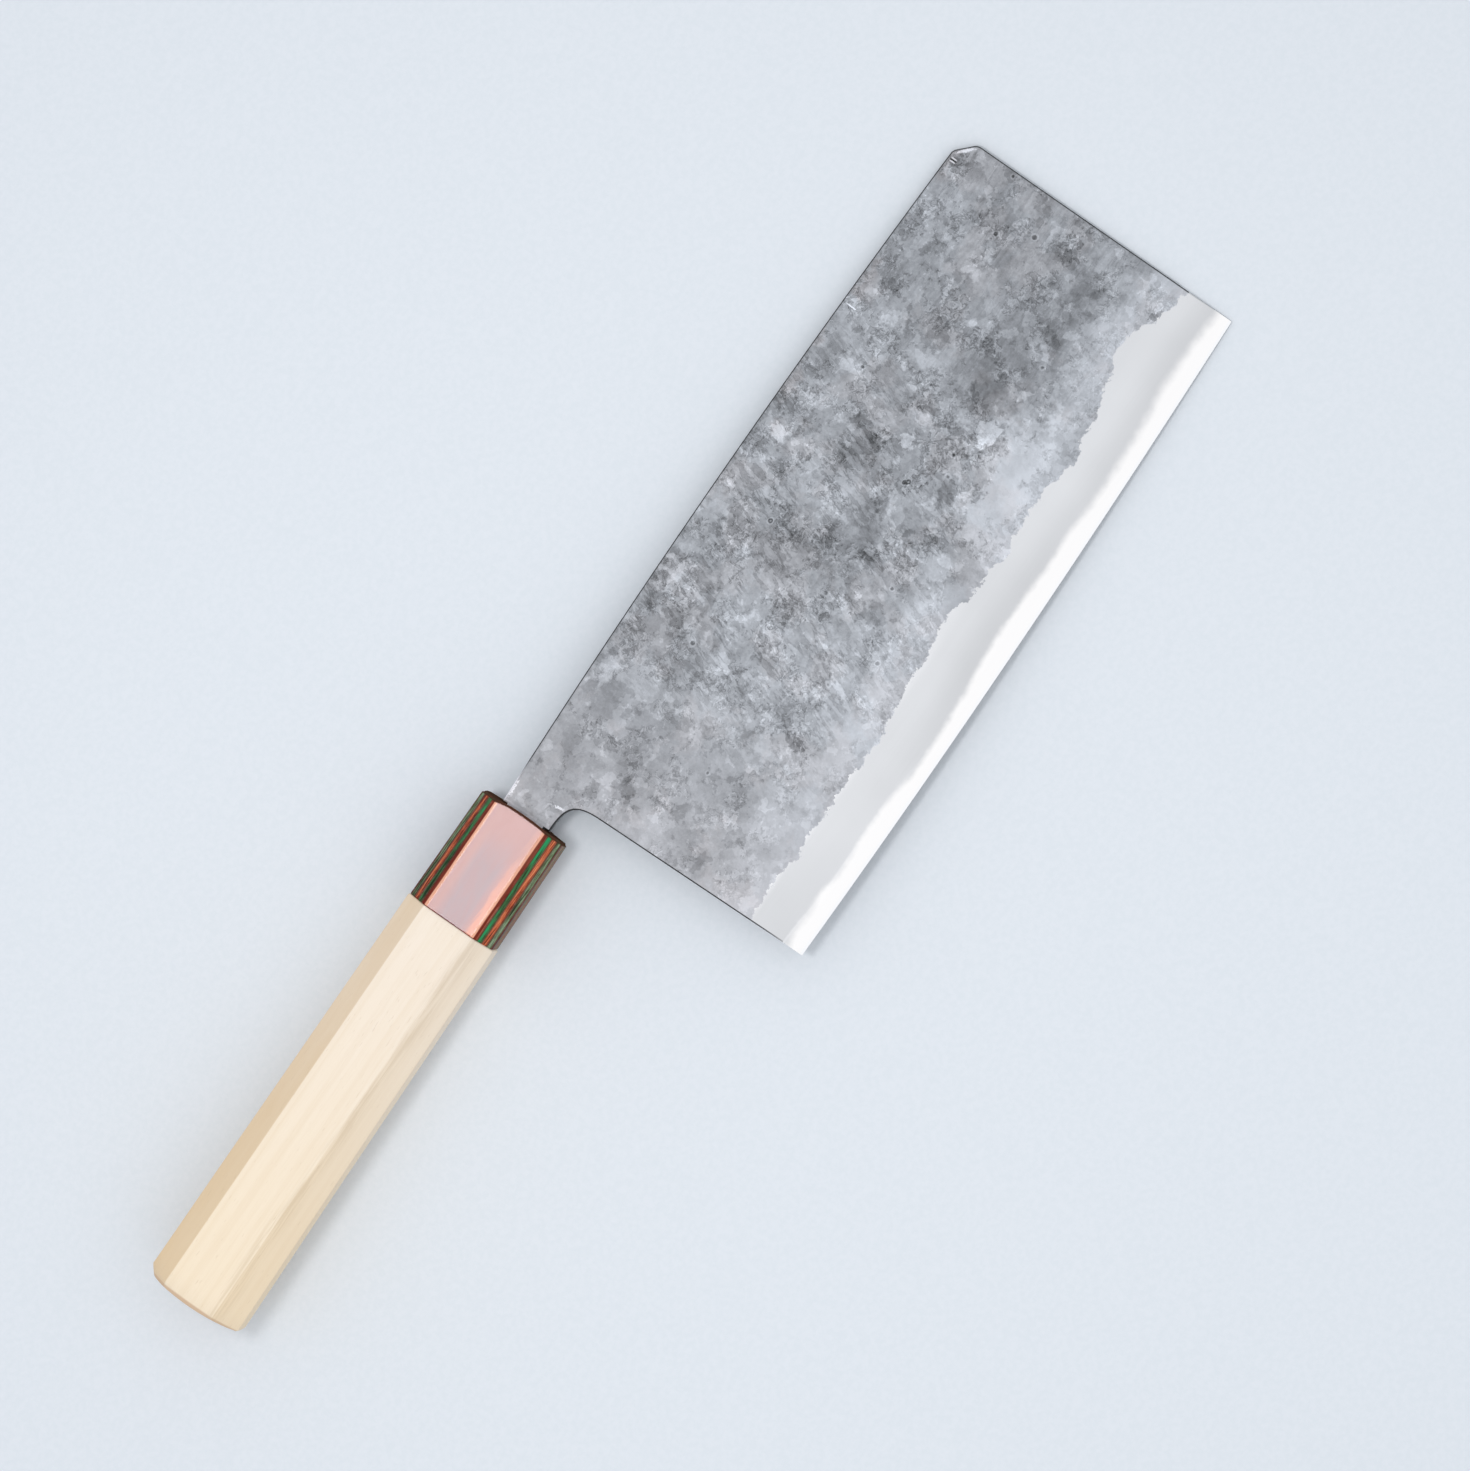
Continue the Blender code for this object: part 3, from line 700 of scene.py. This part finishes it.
def add_ferrule():
    """Veneers shaped as one octagon, bored for the tenon and slotted for the tang."""
    angles = [math.tau * i / ROUND_SIDES for i in range(ROUND_SIDES)]
    spokes = [Vector((0, math.cos(angle), math.sin(angle))) for angle in angles]
    bore_ends = (-FERRULE_LENGTH - OVERRUN, BORE_END_X)
    bore = add_object("bore", loft([circle_like(spokes, x, BORE_RADIUS) for x in bore_ends]))
    corners = ((1, 1), (-1, 1), (-1, -1), (1, -1))
    pocket_rings = []
    for x in (OVERRUN, -FERRULE_LENGTH - OVERRUN):
        rise, half = pocket_size(x)
        pocket_rings.append([Vector((x, y * rise, z * half)) for y, z in corners])
    pocket = add_object("pocket", loft(pocket_rings))
    pocket_half = pocket_size(0)[1]
    reach = (VENEER_THICKNESS - VENEER_GAP) / 2
    back_chamfer = 0.0002
    sections = (0.005, 0.012, 0.02, 0.028, FERRULE_LENGTH - back_chamfer)
    for number in range(1, VENEER_COUNT + 1):
        middle = (number - (VENEER_COUNT + 1) / 2) * VENEER_THICKNESS
        colour = "red" if number % 2 else "green"
        material = veneer(f"veneer_{number:02d}", number)
        node = f"ferrule_veneer_{number:02d}_{colour}"
        split = f"{node}_spine_strip" in frame["nodes"]
        for side, ending in ((1, "_spine_strip"), (-1, "_edge_strip")) if split else ((0, ""),):
            rings = [ferrule_octagon(-along, FERRULE_NOSE - depth)
                for along, depth in end_profile(FERRULE_NOSE)]
            rings += [ferrule_octagon(-x) for x in sections]
            bm = loft(rings + [ferrule_octagon(-FERRULE_LENGTH, back_chamfer)])
            if number > 1:
                trim(bm, (0, 0, middle - reach), (0, 0, -1))
            if number < VENEER_COUNT:
                trim(bm, (0, 0, middle + reach), (0, 0, 1))
            if side:
                trim(bm, (0, 0, 0), (0, -side, 0))
            piece = add_object(f"veneer_{number:02d}_{colour}{ending}", bm)
            nearest = max(0, abs(middle) - reach)
            cutters = [pocket] if nearest < pocket_half else []
            cutters += [bore] if nearest < BORE_RADIUS else []
            if cutters:
                cut(piece, cutters)
            dress(piece, material, f"{colour}_veneer", node + ending)
    bpy.data.objects.remove(bore)
    bpy.data.objects.remove(pocket)


class Nodes:
    """A tree of shader nodes, and short ways to add to it."""

    def __init__(self, tree):
        self.tree = tree

    def add(self, kind, outlet, inputs, **settings):
        """Add a node, link or set its inputs, and return one of its outlets."""
        node = self.tree.nodes.new("ShaderNode" + kind)
        for key, value in settings.items():
            setattr(node, key, value)
        for key, value in inputs.items():
            self.plug(node.inputs[key], value)
        return node.outputs[outlet]

    def plug(self, socket, value):
        """Link a socket to an outlet, or set its value."""
        if isinstance(value, bpy.types.NodeSocket):
            self.tree.links.new(value, socket)
        else:
            socket.default_value = value

    def math(self, operation, *values):
        """Sum, product or the like of numbers."""
        return self.add("Math", 0, dict(enumerate(values)), operation=operation)


class Finish(Nodes):
    """A material, and the nodes that feed it. Places are in millimetres along the knife."""

    def __init__(self, name, shift=0):
        self.material = bpy.data.materials.new(name)
        self.material.use_nodes = True
        super().__init__(self.material.node_tree)
        to_knife = KNIFE.inverted()
        self.own_place = self.add("Mapping", 0, {
            "Vector": self.add("TexCoord", "Object", {}), "Scale": (1 / MM,) * 3,
            "Location": to_knife.translation / MM, "Rotation": to_knife.to_euler()})
        self.place = self.vector("ADD", self.own_place, (shift, shift * 2, shift * 3))

    def use(self, **inputs):
        """Link or set the shader's own sockets."""
        shader = self.tree.nodes["Principled BSDF"]
        for key, value in inputs.items():
            self.plug(shader.inputs[key.replace("_", " ")], value)

    def attribute(self, name):
        """A number that the mesh carries."""
        return self.add("Attribute", "Fac", {}, attribute_name=name)

    def vector(self, operation, *values):
        """Sum, product or the like of vectors."""
        outlet = "Value" if operation == "LENGTH" else 0
        return self.add("VectorMath", outlet, dict(enumerate(values)), operation=operation)

    def total(self, *values):
        """Sum of several numbers."""
        return reduce(lambda first, second: self.math("ADD", first, second), values)

    def product(self, *values):
        """Several numbers multiplied."""
        return reduce(lambda first, second: self.math("MULTIPLY", first, second), values)

    def noise(self, size, detail=3, roughness=0.5, distortion=0, place=None, seed=0):
        """Cloudy noise around a half, its lumps about a size across."""
        place = place or self.place
        if seed:
            place = self.vector("ADD", place, (41.7 * seed, 17.3 * seed, seed))
        return self.add("TexNoise", "Fac", {"Vector": place, "Scale": 1 / size, "Detail": detail,
            "Roughness": roughness, "Distortion": distortion})

    def grain(self, sizes, detail, roughness, distortion=0, turn=0):
        """Noise with a size along each axis, turned about Z in degrees."""
        turned = self.add("VectorRotate", 0, {"Vector": self.place, "Angle": math.radians(turn)})
        return self.noise(1, detail, roughness, distortion, self.vector("DIVIDE", turned, sizes))

    def spot(self, x, y, along, across, turn=0, ragged=0.35, inner=0.85, outer=1):
        """One inside an oval on the face, fading or ragged at its rim."""
        moved = self.vector("SUBTRACT", self.own_place, (x, y, 0))
        turned = self.add("VectorRotate", 0, {"Vector": moved, "Angle": math.radians(-turn)})
        scaled = self.vector("MULTIPLY", turned, (1 / along, 1 / across, 0))
        reach = self.vector("LENGTH", scaled)
        if ragged:
            torn = self.noise(min(along, across) * 0.8, 4, 0.65)
            reach = self.total(reach, self.swing(torn, ragged * 2))
        return self.step(reach, outer, inner)

    def cells(self, size, place=None, outlet="Distance"):
        """Distance to scattered points about a size apart."""
        return self.add("TexVoronoi", outlet, {"Vector": place or self.place, "Scale": 1 / size})

    def flakes(self, size, warp, seed):
        """Number of its own, around a half, on each flake of a torn surface."""
        torn = self.add("TexNoise", "Color", {
            "Vector": self.place, "Scale": 1 / (size * 0.8), "Detail": 4, "Roughness": 0.62})
        moved = self.vector("MULTIPLY_ADD", torn, (warp,) * 3, self.place)
        shifted = self.vector("ADD", moved, (13.1 * seed, 7.7 * seed, seed))
        return self.cells(size, shifted, "Color")

    def contour(self, value, level, width):
        """One on the thin lines where a value passes a level."""
        off = self.math("ABSOLUTE", self.math("SUBTRACT", value, level))
        return self.step(off, width, width * 0.3)

    def swing(self, value, amount):
        """Noise around a half turned into plus or minus an amount."""
        return self.product(self.math("SUBTRACT", value, 0.5), 2 * amount)

    def step(self, value, low, high, start=0, end=1):
        """Smooth step from start to end while a value goes from low to high."""
        return self.add("MapRange", 0, {"Value": value, "From Min": low, "From Max": high, "To Min": start,
            "To Max": end}, interpolation_type="SMOOTHSTEP")

    def mix(self, share, first, second):
        """Number a share of the way from first to second."""
        return self.add("Mix", 0, {0: share, 2: first, 3: second})

    def blend(self, share, first, second):
        """Colour a share of the way from first to second, each an outlet or as it is seen."""
        inputs = {0: share}
        for key, colour in ((6, first), (7, second)):
            inputs[key] = seen(*colour) if isinstance(colour, tuple) else colour
        return self.add("Mix", 2, inputs, data_type="RGBA")

    def tint(self, tone, tint):
        """Colour of a seen tone, tinted."""
        parts = {}
        for key, part in zip(("Red", "Green", "Blue"), tint):
            lit = self.math("MAXIMUM", self.product(tone, part), 0.02)
            parts[key] = self.math("POWER", lit, GAMMA)
        return self.add("CombineColor", 0, parts)

    def axis(self, name):
        """Place along one axis, in millimetres, not shifted."""
        return self.add("SeparateXYZ", name, {0: self.own_place})

    def bump(self, height, depth):
        """Normal of a surface raised by up to a depth in millimetres."""
        return self.add("Bump", 0, {"Height": height, "Distance": depth * MM, "Strength": 1})


def seen(red, green, blue):
    """Colour as written for a shader, from the colour as it is seen."""
    return (*((part / 255) ** GAMMA for part in (red, green, blue)), 1)


def scale_marks(f):
    """Tones that marks and zones add to the right face, and where it is smooth."""
    marks = [(f.spot(*place), tone) for *place, tone in MARKS]
    smooth = f.spot(129.6, -50, 19, 5.6, 3, 0.8, 0.75)
    marks.append((smooth, 0.045))
    for mask, tone in marks:
        if tone > 0:
            smooth = f.math("MAXIMUM", smooth, f.product(mask, 0.6))
    marks += [(f.spot(*place, 0, 0, 0), tone) for *place, tone in ZONES]
    return [f.product(mask, tone) for mask, tone in marks], smooth


def bevel_tone(f, x):
    """Colour of the ground bevel, where its bright band lies, painted brighter as reflection, and its
    satin lines.
    """
    above = f.attribute("polish_sheen")
    satin = f.grain((26, 0.16, 6), 3, 0.6, turn=2)
    wavy = f.total(above, f.swing(f.noise(3.2, 4, 0.6), 0.8))
    soft = f.total(f.step(x, 105, 165, 1, 1.7), f.step(x, 35, 15, 0, 0.3))
    band = f.step(f.math("DIVIDE", wavy, soft), 0.9, -1)
    # Painted shade: the satin darkens just above the band, where the bevel's reflection fades.
    fall = f.product(f.step(above, 8.5, 0.6), f.step(x, 40, 85, 0.004, 0.046))
    tone = f.total(0.778, f.step(x, 5, 42, -0.038, 0), f.step(x, 108, 132, 0, 0.02),
        f.step(x, 150, 168, 0, -0.01), f.swing(f.noise(14, 2, 0.4), 0.014), f.swing(satin, 0.01),
        f.product(fall, -1))
    # The band's polished steel is painted brighter than the satin: a painted reflection.
    bright = f.total(0.893, f.swing(satin, 0.006))
    return f.blend(band, f.tint(tone, SATIN_TINT), f.tint(bright, BRIGHT_TINT)), band, satin


def forged_iron(name, shift, marked):
    """Grey forge scale above a ragged line, and satin ground iron below it."""
    f = Finish(name, shift)
    x, y = f.axis("X"), f.axis("Y")
    scale_height = f.attribute("scale")
    ragged = f.total(scale_height, f.swing(f.noise(4.5), 2.2), f.swing(f.noise(1.1, 5, 0.72), 1.9))
    scaled = f.step(ragged, -0.08, 0.08)

    marks, smooth = scale_marks(f) if marked else ([], 0)
    toward_tip = f.step(x, 105, 165)
    middle = f.product(f.step(x, 30, 52), f.step(x, 160, 110))
    low = f.total(scale_height, f.swing(f.noise(9, 6, 0.62, seed=9), 9))
    low_band = f.step(low, 13.5, 3.5)
    calm = f.math("SUBTRACT", 1, f.math("MAXIMUM", f.product(low_band, 0.4), f.product(smooth, 0.8)))
    cloud = f.noise(24, 9, 0.8)
    broad = f.noise(40, 2, 0.5, seed=1)
    large_flakes = f.math("SUBTRACT", f.flakes(5.2, 6.5, 1), 0.5)
    small_flakes = f.math("SUBTRACT", f.flakes(1.9, 2.4, 2), 0.5)
    pale = f.step(f.noise(5, 5, 0.56, seed=10), 0.605, 0.615)
    dark = f.step(f.noise(7, 8, 0.64, seed=4), 0.57, 0.59)
    rough = f.step(f.total(f.noise(8.5, 7, 0.66, seed=6), f.step(x, 20, 60, -0.025, 0.01)), 0.5, 0.55)
    grit = f.noise(1.9, 5, 0.66, 0.6, seed=5)
    fine_grit = f.noise(1, 3, 0.7, seed=12)
    # Worms, ridges and pits set dark lines and specks beside light ones: the scale's own mottling, with
    # painted shade and painted highlight of its fine relief.
    worms = f.total(f.product(f.contour(grit, 0.47, 0.04), -0.1),
        f.product(f.contour(grit, 0.55, 0.034), 0.07), f.step(fine_grit, 0.4, 0.33, 0, -0.1),
        f.step(fine_grit, 0.6, 0.68, 0, 0.075))
    strokes = f.grain((1.5, 5.5, 8), 5, 0.64, 0.25, 20)
    ridges = f.total(f.swing(strokes, 0.09), f.step(strokes, 0.49, 0.51, -0.024, 0.024),
        f.product(f.contour(strokes, 0.475, 0.03), -0.055))
    stroked = f.product(middle, f.step(f.noise(12, 4, 0.6, seed=11), 0.42, 0.54))
    level = f.grain((15, 1.3, 8), 6, 0.7, 0.2, 2)
    lines = f.contour(level, 0.62, 0.035)
    pit_reach = f.cells(4.2)
    pit_size = f.step(f.noise(6, 2, seed=7), 0.56, 0.68, 0, 0.15)
    pitted = f.step(pit_size, 0.02, 0.07)
    pit_gap = f.math("SUBTRACT", pit_reach, pit_size)
    pits = f.product(pitted, f.contour(pit_gap, -0.03, 0.07))
    pit_rims = f.product(pitted, f.contour(pit_gap, 0.08, 0.06))
    detail = f.total(f.swing(cloud, 0.3), f.product(large_flakes, 0.115), f.product(small_flakes, 0.065),
        f.product(pale, 0.075), f.product(dark, -0.08), f.swing(fine_grit, 0.05), f.swing(grit, 0.06),
        f.product(rough, f.total(worms, -0.01)), f.product(ridges, stroked),
        f.product(f.swing(level, 0.1), toward_tip), f.product(lines, toward_tip, -0.065),
        f.product(pits, -0.2), f.product(pit_rims, 0.07))
    strength = f.product(calm, f.step(x, 35, 75, 0.85, 1.05))
    # The last millimetre at the shoulder is painted lighter: a painted highlight on the shoulder's rim.
    tone = f.total(0.592, f.step(x, 15, 95, 0.034, 0), f.swing(broad, 0.13), f.product(detail, strength),
        f.product(low_band, f.step(x, 25, 95, 0.07, 0.13)), f.product(smooth, 0.02),
        f.step(x, 1, 0.4, 0, 0.14), *marks)
    # The rounded rim is painted near black: the dark scale deepened into painted shade, widened along the
    # heel and choil.
    heel_side = f.product(f.step(x, 12, 11), f.step(y, 0, -4))
    rim = f.attribute("rim")
    rim = f.mix(heel_side, rim, f.step(rim, 0, 0.35))
    # The neck's upper rim is painted white: bare worn metal with a painted glint.
    worn_neck_glint = f.product(f.step(x, 14, 4), f.step(y, 0, 5))
    tone = f.mix(rim, tone, f.mix(worn_neck_glint, 0.2, 1))
    near_spine = f.product(f.step(y, 2.5, 5), f.step(x, 80, 110))
    warmth = f.product(f.step(f.noise(13, 6, 0.64, seed=8), 0.48, 0.58),
        f.total(0.35, f.product(near_spine, 0.45)))
    warmth = f.total(warmth, f.step(x, 60, 6, 0, 0.48))
    scale_colour = f.blend(warmth, f.tint(tone, (0.981, 0.997, 1.027)),
        f.tint(tone, (1.006, 0.992, 1.008)))

    iron_colour, band, satin = bevel_tone(f, x)
    # Painted shade: the ground iron next to the rim at the heel and choil is painted dark grey.
    heel_rim_shade = f.product(heel_side, rim, f.step(scale_height, -14, -1, 0.3, 0.9))
    iron_colour = f.blend(heel_rim_shade, iron_colour, (64, 63, 66))
    relief = f.total(cloud, f.product(large_flakes, 0.08), f.product(small_flakes, 0.06),
        f.product(dark, -0.14), f.product(f.swing(grit, 0.3), rough),
        f.product(f.swing(strokes, 0.22), stroked), f.swing(fine_grit, 0.14), f.product(pits, -0.2), -0.5)
    height = f.total(f.product(relief, f.step(ragged, 0, 0.9)),
        f.product(f.math("SUBTRACT", 1, scaled), f.swing(satin, 0.01)))
    f.use(Base_Color=f.blend(scaled, iron_colour, scale_colour), Metallic=f.mix(scaled, 1, 0.25),
        Roughness=f.mix(scaled, f.mix(band, 0.18, 0.13), f.total(0.52, f.swing(cloud, 0.25))),
        Specular_IOR_Level=0.35, Normal=f.bump(height, 0.11))
    return f.material


def polished_steel(name):
    """Hard steel: ground satin, then bright towards the edge, polished and painted brighter as reflection.
    """
    f = Finish(name)
    colour, band, satin = bevel_tone(f, f.axis("X"))
    above_edge_mm = f.attribute("edge")
    at_edge = f.step(above_edge_mm, 0.7, 0.5, 0, 0.5)
    forged = f.step(f.total(above_edge_mm, f.swing(f.noise(3, 4, 0.6), 2)), 14, 15)
    grey = f.blend(f.noise(1.2, 4, 0.6), (104, 105, 109), (150, 151, 154))
    colour = f.blend(forged, f.blend(at_edge, colour, (224, 225, 227)), grey)
    polished = f.mix(band, 0.18, f.total(0.12, f.swing(satin, 0.05)))
    f.use(Base_Color=colour, Metallic=f.mix(forged, 1, 0.5), Roughness=f.mix(forged, polished, 0.5),
        Normal=f.bump(satin, 0.0015))
    return f.material


def pale_wood(name):
    """Bare pale wood with straight grain, a streak and small flecks."""
    f = Finish(name)
    x, y = f.axis("X"), f.axis("Y")
    corner = HANDLE_FLAT / 2 / MM
    bend = f.swing(f.grain((34, 9, 9), 3, 0.5), 2.6)
    rings = f.grain((160, 1.3, 2.6), 4, 0.55)
    fibre = f.grain((5, 0.16, 0.16), 3, 0.6)
    flecks = f.step(f.grain((2.6, 0.34, 0.34), 1, 0.4), 0.7, 0.78)
    streak_y = f.total(y, bend)
    streak = f.product(f.step(streak_y, -5.2, -7), f.step(streak_y, -10.2, -7.6),
        f.step(f.grain((16, 0.6, 0.9), 4, 0.6, 0.3), 0.36, 0.62))
    cloud = f.grain((30, 7, 7), 4, 0.6, 0.3)
    chamfer = f.step(f.math("ABSOLUTE", y), corner - 0.15, corner + 0.15)
    spine_side = f.product(chamfer, f.math("GREATER_THAN", y, 0))
    light = f.blend(cloud, (249, 235, 216), (245, 229, 205))
    slanted = f.product(chamfer, f.step(x, -120, -40, 0.5, 0.28))
    light = f.blend(slanted, light, (236, 214, 182))
    # Painted shade: the spine's side chamfer is painted browner than the edge's side.
    light = f.blend(f.product(spine_side, f.total(0.5, f.swing(cloud, 0.25))), light, (226, 195, 154))
    end_grain = f.step(x, -138.6, -139.2)
    colour = f.blend(f.product(end_grain, 0.75), light, (208, 172, 142))
    colour = f.blend(f.step(rings, 0.4, 0.74, 0, 0.16), colour, (222, 196, 160))
    colour = f.blend(f.product(streak, 0.32), colour, (196, 172, 138))
    colour = f.blend(f.product(flecks, 0.16), colour, (170, 140, 104))
    colour = f.blend(f.step(fibre, 0.35, 0.75, 0, 0.09), colour, (218, 192, 158))
    tint = f.add("Mix", 2, {0: f.step(x, -30, -138), 6: (0.99, 0.99, 1.025, 1), 7: (1, 0.965, 0.9, 1)},
        data_type="RGBA")
    colour = f.vector("MULTIPLY", colour, tint)
    relief = f.total(f.product(fibre, 0.6), f.product(rings, 0.5), f.product(flecks, -0.5))
    f.use(Base_Color=colour, Roughness=f.total(0.6, f.swing(fibre, 0.1)),
        Normal=f.bump(relief, 0.02), Specular_IOR_Level=0.3)
    return f.material


def veneer(name, number):
    """Dyed wood set in resin, with streaks, pores and dark glue lines."""
    f = Finish(name, number * 7.3)
    x, y, z = f.axis("X"), f.axis("Y"), f.axis("Z")
    layer = max(number, VENEER_COUNT + 1 - number)
    dark, middle, light = DYES.get(layer, DYES[layer % 2])
    streaks = f.grain((8, 0.6, 0.45), 5, 0.74, 0.15)
    long_streaks = f.grain((26, 1.1, 0.6), 2, 0.5)
    pores = f.step(f.grain((4.5, 0.34, 0.26), 2, 0.5), 0.57, 0.63)
    pitch = VENEER_THICKNESS / MM
    place = f.math("FRACT", f.math("DIVIDE", f.math("ADD", z, pitch * 20.5), pitch))
    from_middle = f.math("ABSOLUTE", f.math("SUBTRACT", place, 0.5))
    glue = f.step(f.total(from_middle, f.swing(streaks, 0.2)), 0.27, 0.41)
    # Painted light and shade: the tone is lighter towards the edge's side and darker towards the spine's.
    tone = f.total(f.swing(streaks, 2.5), f.swing(long_streaks, 0.6), 0.52, f.step(y, 9, -9, -0.18, 0.16),
        f.step(x, -22, -4, -0.06, 0.1))
    colour = f.blend(f.step(tone, 0.05, 0.5), dark, middle)
    colour = f.blend(f.step(tone, 0.55, 1), colour, light)
    colour = f.blend(f.product(pores, 0.6), colour, dark)
    colour = f.blend(f.product(glue, 0.8), colour, GLUE)
    lift = max((number / (VENEER_COUNT + 1) - 0.5) * 2, LOWEST_LIFT)
    spine_bow = FRONT_BOW / MM * (1 + max(lift, 0))
    off = f.math("MINIMUM", f.math("DIVIDE", f.math("ABSOLUTE", y), HANDLE_FLAT / 2 / MM), 1)
    bow = f.product(f.math("POWER", off, 3), f.step(y, -0.1, 0.1, FRONT_BOW / MM, spine_bow))
    front = f.total(x, bow, f.swing(streaks, 0.3), -FRONT_REACH / MM * lift)
    shaded_nose = f.step(front, -0.8, -0.45)
    shine = f.math("SUBTRACT", 1, shaded_nose)
    if number == VENEER_COUNT:
        slope = (HANDLE_THICKNESS[0] - 2 * FERRULE_STEP - FERRULE_THICKNESS) / 2
        facet = f.math("MULTIPLY_ADD", x, -slope / FERRULE_LENGTH, FERRULE_THICKNESS / 2 / MM)
        below = f.total(facet, f.product(z, -1), f.swing(streaks, 0.1))
        colour = f.blend(f.step(below, 0.8, 0.52, 0, 0.9), colour, (108, 30, 12))
        colour = f.blend(f.step(below, 0.13, 0.03), colour, top_face(f, x, y))
    # Painted shade: the rounded nose is painted dark brown, and it has no varnish.
    colour = f.blend(f.product(shaded_nose, 0.9), colour, (80, 58, 48))
    f.use(Base_Color=colour, Roughness=f.total(0.36, f.swing(streaks, 0.12)),
        Normal=f.bump(f.total(streaks, f.product(pores, -0.4)), 0.004), Specular_IOR_Level=0,
        Coat_Weight=f.product(shine, 0.36), Coat_Roughness=0.07, Coat_IOR=1.5)
    return f.material


def top_face(f, x, y):
    """Colour of the top veneer, cut flat: rosy, with peach margins and a light peach rim painted as
    highlight.
    """
    figure = f.grain((16, 4, 4), 4, 0.6, 0.5)
    wave = f.swing(figure, 2.2)
    cool = f.product(f.step(f.total(x, wave), -4, -16), f.step(f.math("ABSOLUTE", y), 5, 2.5))
    face = f.blend(f.product(cool, 0.8), (160, 96, 90), (128, 94, 102))
    face = f.blend(f.step(figure, 0.4, 0.62, 0, 0.25), face, (150, 84, 78))
    rear = f.step(x, -6, -24)
    edge_side = f.product(f.step(f.total(y, wave), -4.3, -5.6), f.total(0.25, f.product(rear, 0.5)))
    spine_side = f.step(f.total(y, f.swing(figure, 0.8)), 5.9, 6.6, 0, 0.5)
    face = f.blend(f.math("MAXIMUM", edge_side, spine_side), face, (216, 122, 84))
    # Painted highlight: the outer rim is painted light peach where the varnish's reflection stops.
    return f.blend(f.step(f.math("ABSOLUTE", y), 6, 6.7, 0, 0.85), face, (238, 176, 146))


def bedding_resin(name):
    """Dark resin that fills the slot round the tang."""
    f = Finish(name)
    cloud = f.noise(0.8)
    f.use(Base_Color=f.blend(cloud, (96, 62, 34), (52, 32, 20)),
        Roughness=f.total(0.2, f.swing(cloud, 0.12)), Normal=f.bump(cloud, 0.02), Coat_Weight=0.6,
        Coat_Roughness=0.05)
    return f.material


def pale_paper(name):
    """Pale blue-grey paper of the floor."""
    f = Finish(name)
    mottle = f.noise(1.4, 4, 0.6)
    colour = f.blend(f.step(mottle, 0.3, 0.7), (223, 228, 233), (227, 231, 236))
    f.use(Base_Color=colour, Roughness=0.75, Normal=f.bump(mottle, 0.02))
    return f.material


def add_floor():
    """Pale floor under the knife."""
    bm = bmesh.new()
    bmesh.ops.create_grid(bm, x_segments=8, y_segments=8, size=FLOOR_HALF)
    mesh = bpy.data.meshes.new("floor")
    bm.to_mesh(mesh)
    bm.free()
    floor = link("floor", mesh)
    mesh.materials.append(pale_paper("floor"))


def add_camera():
    """Camera at the photo's viewing angle."""
    back = Vector((math.tan(VIEW_LEAN), -math.tan(VIEW_TILT), 1)).normalized()
    right = Vector((math.cos(VIEW_TURN), -math.sin(VIEW_TURN), 0))
    right = (right - back * right.dot(back)).normalized()
    data = bpy.data.cameras.new("camera")
    data.sensor_width = SENSOR
    data.lens = SENSOR * VIEW_DISTANCE / VIEW_WIDTH
    data.clip_start = 0.01
    camera = link("camera", data)
    turn = Matrix((right, back.cross(right), back)).transposed().to_4x4()
    place = KNIFE @ Vector(VIEW_CENTRE) + back * VIEW_DISTANCE
    camera.matrix_world = Matrix.Translation(place) @ turn
    bpy.context.scene.camera = camera


def add_panel(name, place, size, radiance):
    """Square softbox of an even radiance, facing the frame's origin."""
    data = bpy.data.lights.new(name, "AREA")
    data.shape = "SQUARE"
    data.size = size
    data.energy = radiance * math.pi * size * size
    turn = Vector(place).normalized().to_track_quat("Z", "Y").to_matrix().to_4x4()
    link(name, data).matrix_world = Matrix.Translation(place) @ turn


def add_light():
    """One softbox over the ferrule's end, a wide dim panel above, and a pale room."""
    add_panel("softbox", (-0.05, 0.101, 0.7), 0.12, 26)
    add_panel("ceiling", (0.1, -0.55, 1.2), 1.5, 0.45)
    world = bpy.data.worlds.new("room")
    world.use_nodes = True
    bpy.context.scene.world = world
    room = Nodes(world.node_tree)
    seen_by, through, mirrored = [
        room.add("LightPath", f"Is {kind} Ray", {}) for kind in ("Camera", "Transmission", "Glossy")]
    shown = room.math("MAXIMUM", seen_by, room.math("MAXIMUM", mirrored, through))
    strength = room.add("MapRange", 0, {"Value": shown, "To Min": ROOM_LIGHT, "To Max": 1})
    background = world.node_tree.nodes["Background"]
    room.plug(background.inputs["Color"], seen(225, 229, 234))
    room.plug(background.inputs["Strength"], strength)


add_camera()
add_light()
add_floor()
for side, name, shift in ((1, "right", 0), (-1, "left", 311)):
    dress(add_cladding(f"blade_{name}_cladding", side),
        forged_iron(f"forged_iron_{name}", shift, side > 0), "forged_iron", f"{name}_cladding")
dress(add_core("blade_core"), polished_steel("core_steel"), "core_steel", "core_steel")
dress(add_handle("wooden_handle"), pale_wood("pale_wood"), "pale_wood", "handle")
add_ferrule()
bedding = frame["nodes"]["tang_bedding"]
bedding.data.materials.clear()
bedding.data.materials.append(bedding_resin("bedding_resin"))

bpy.context.scene.view_settings.view_transform = "Standard"
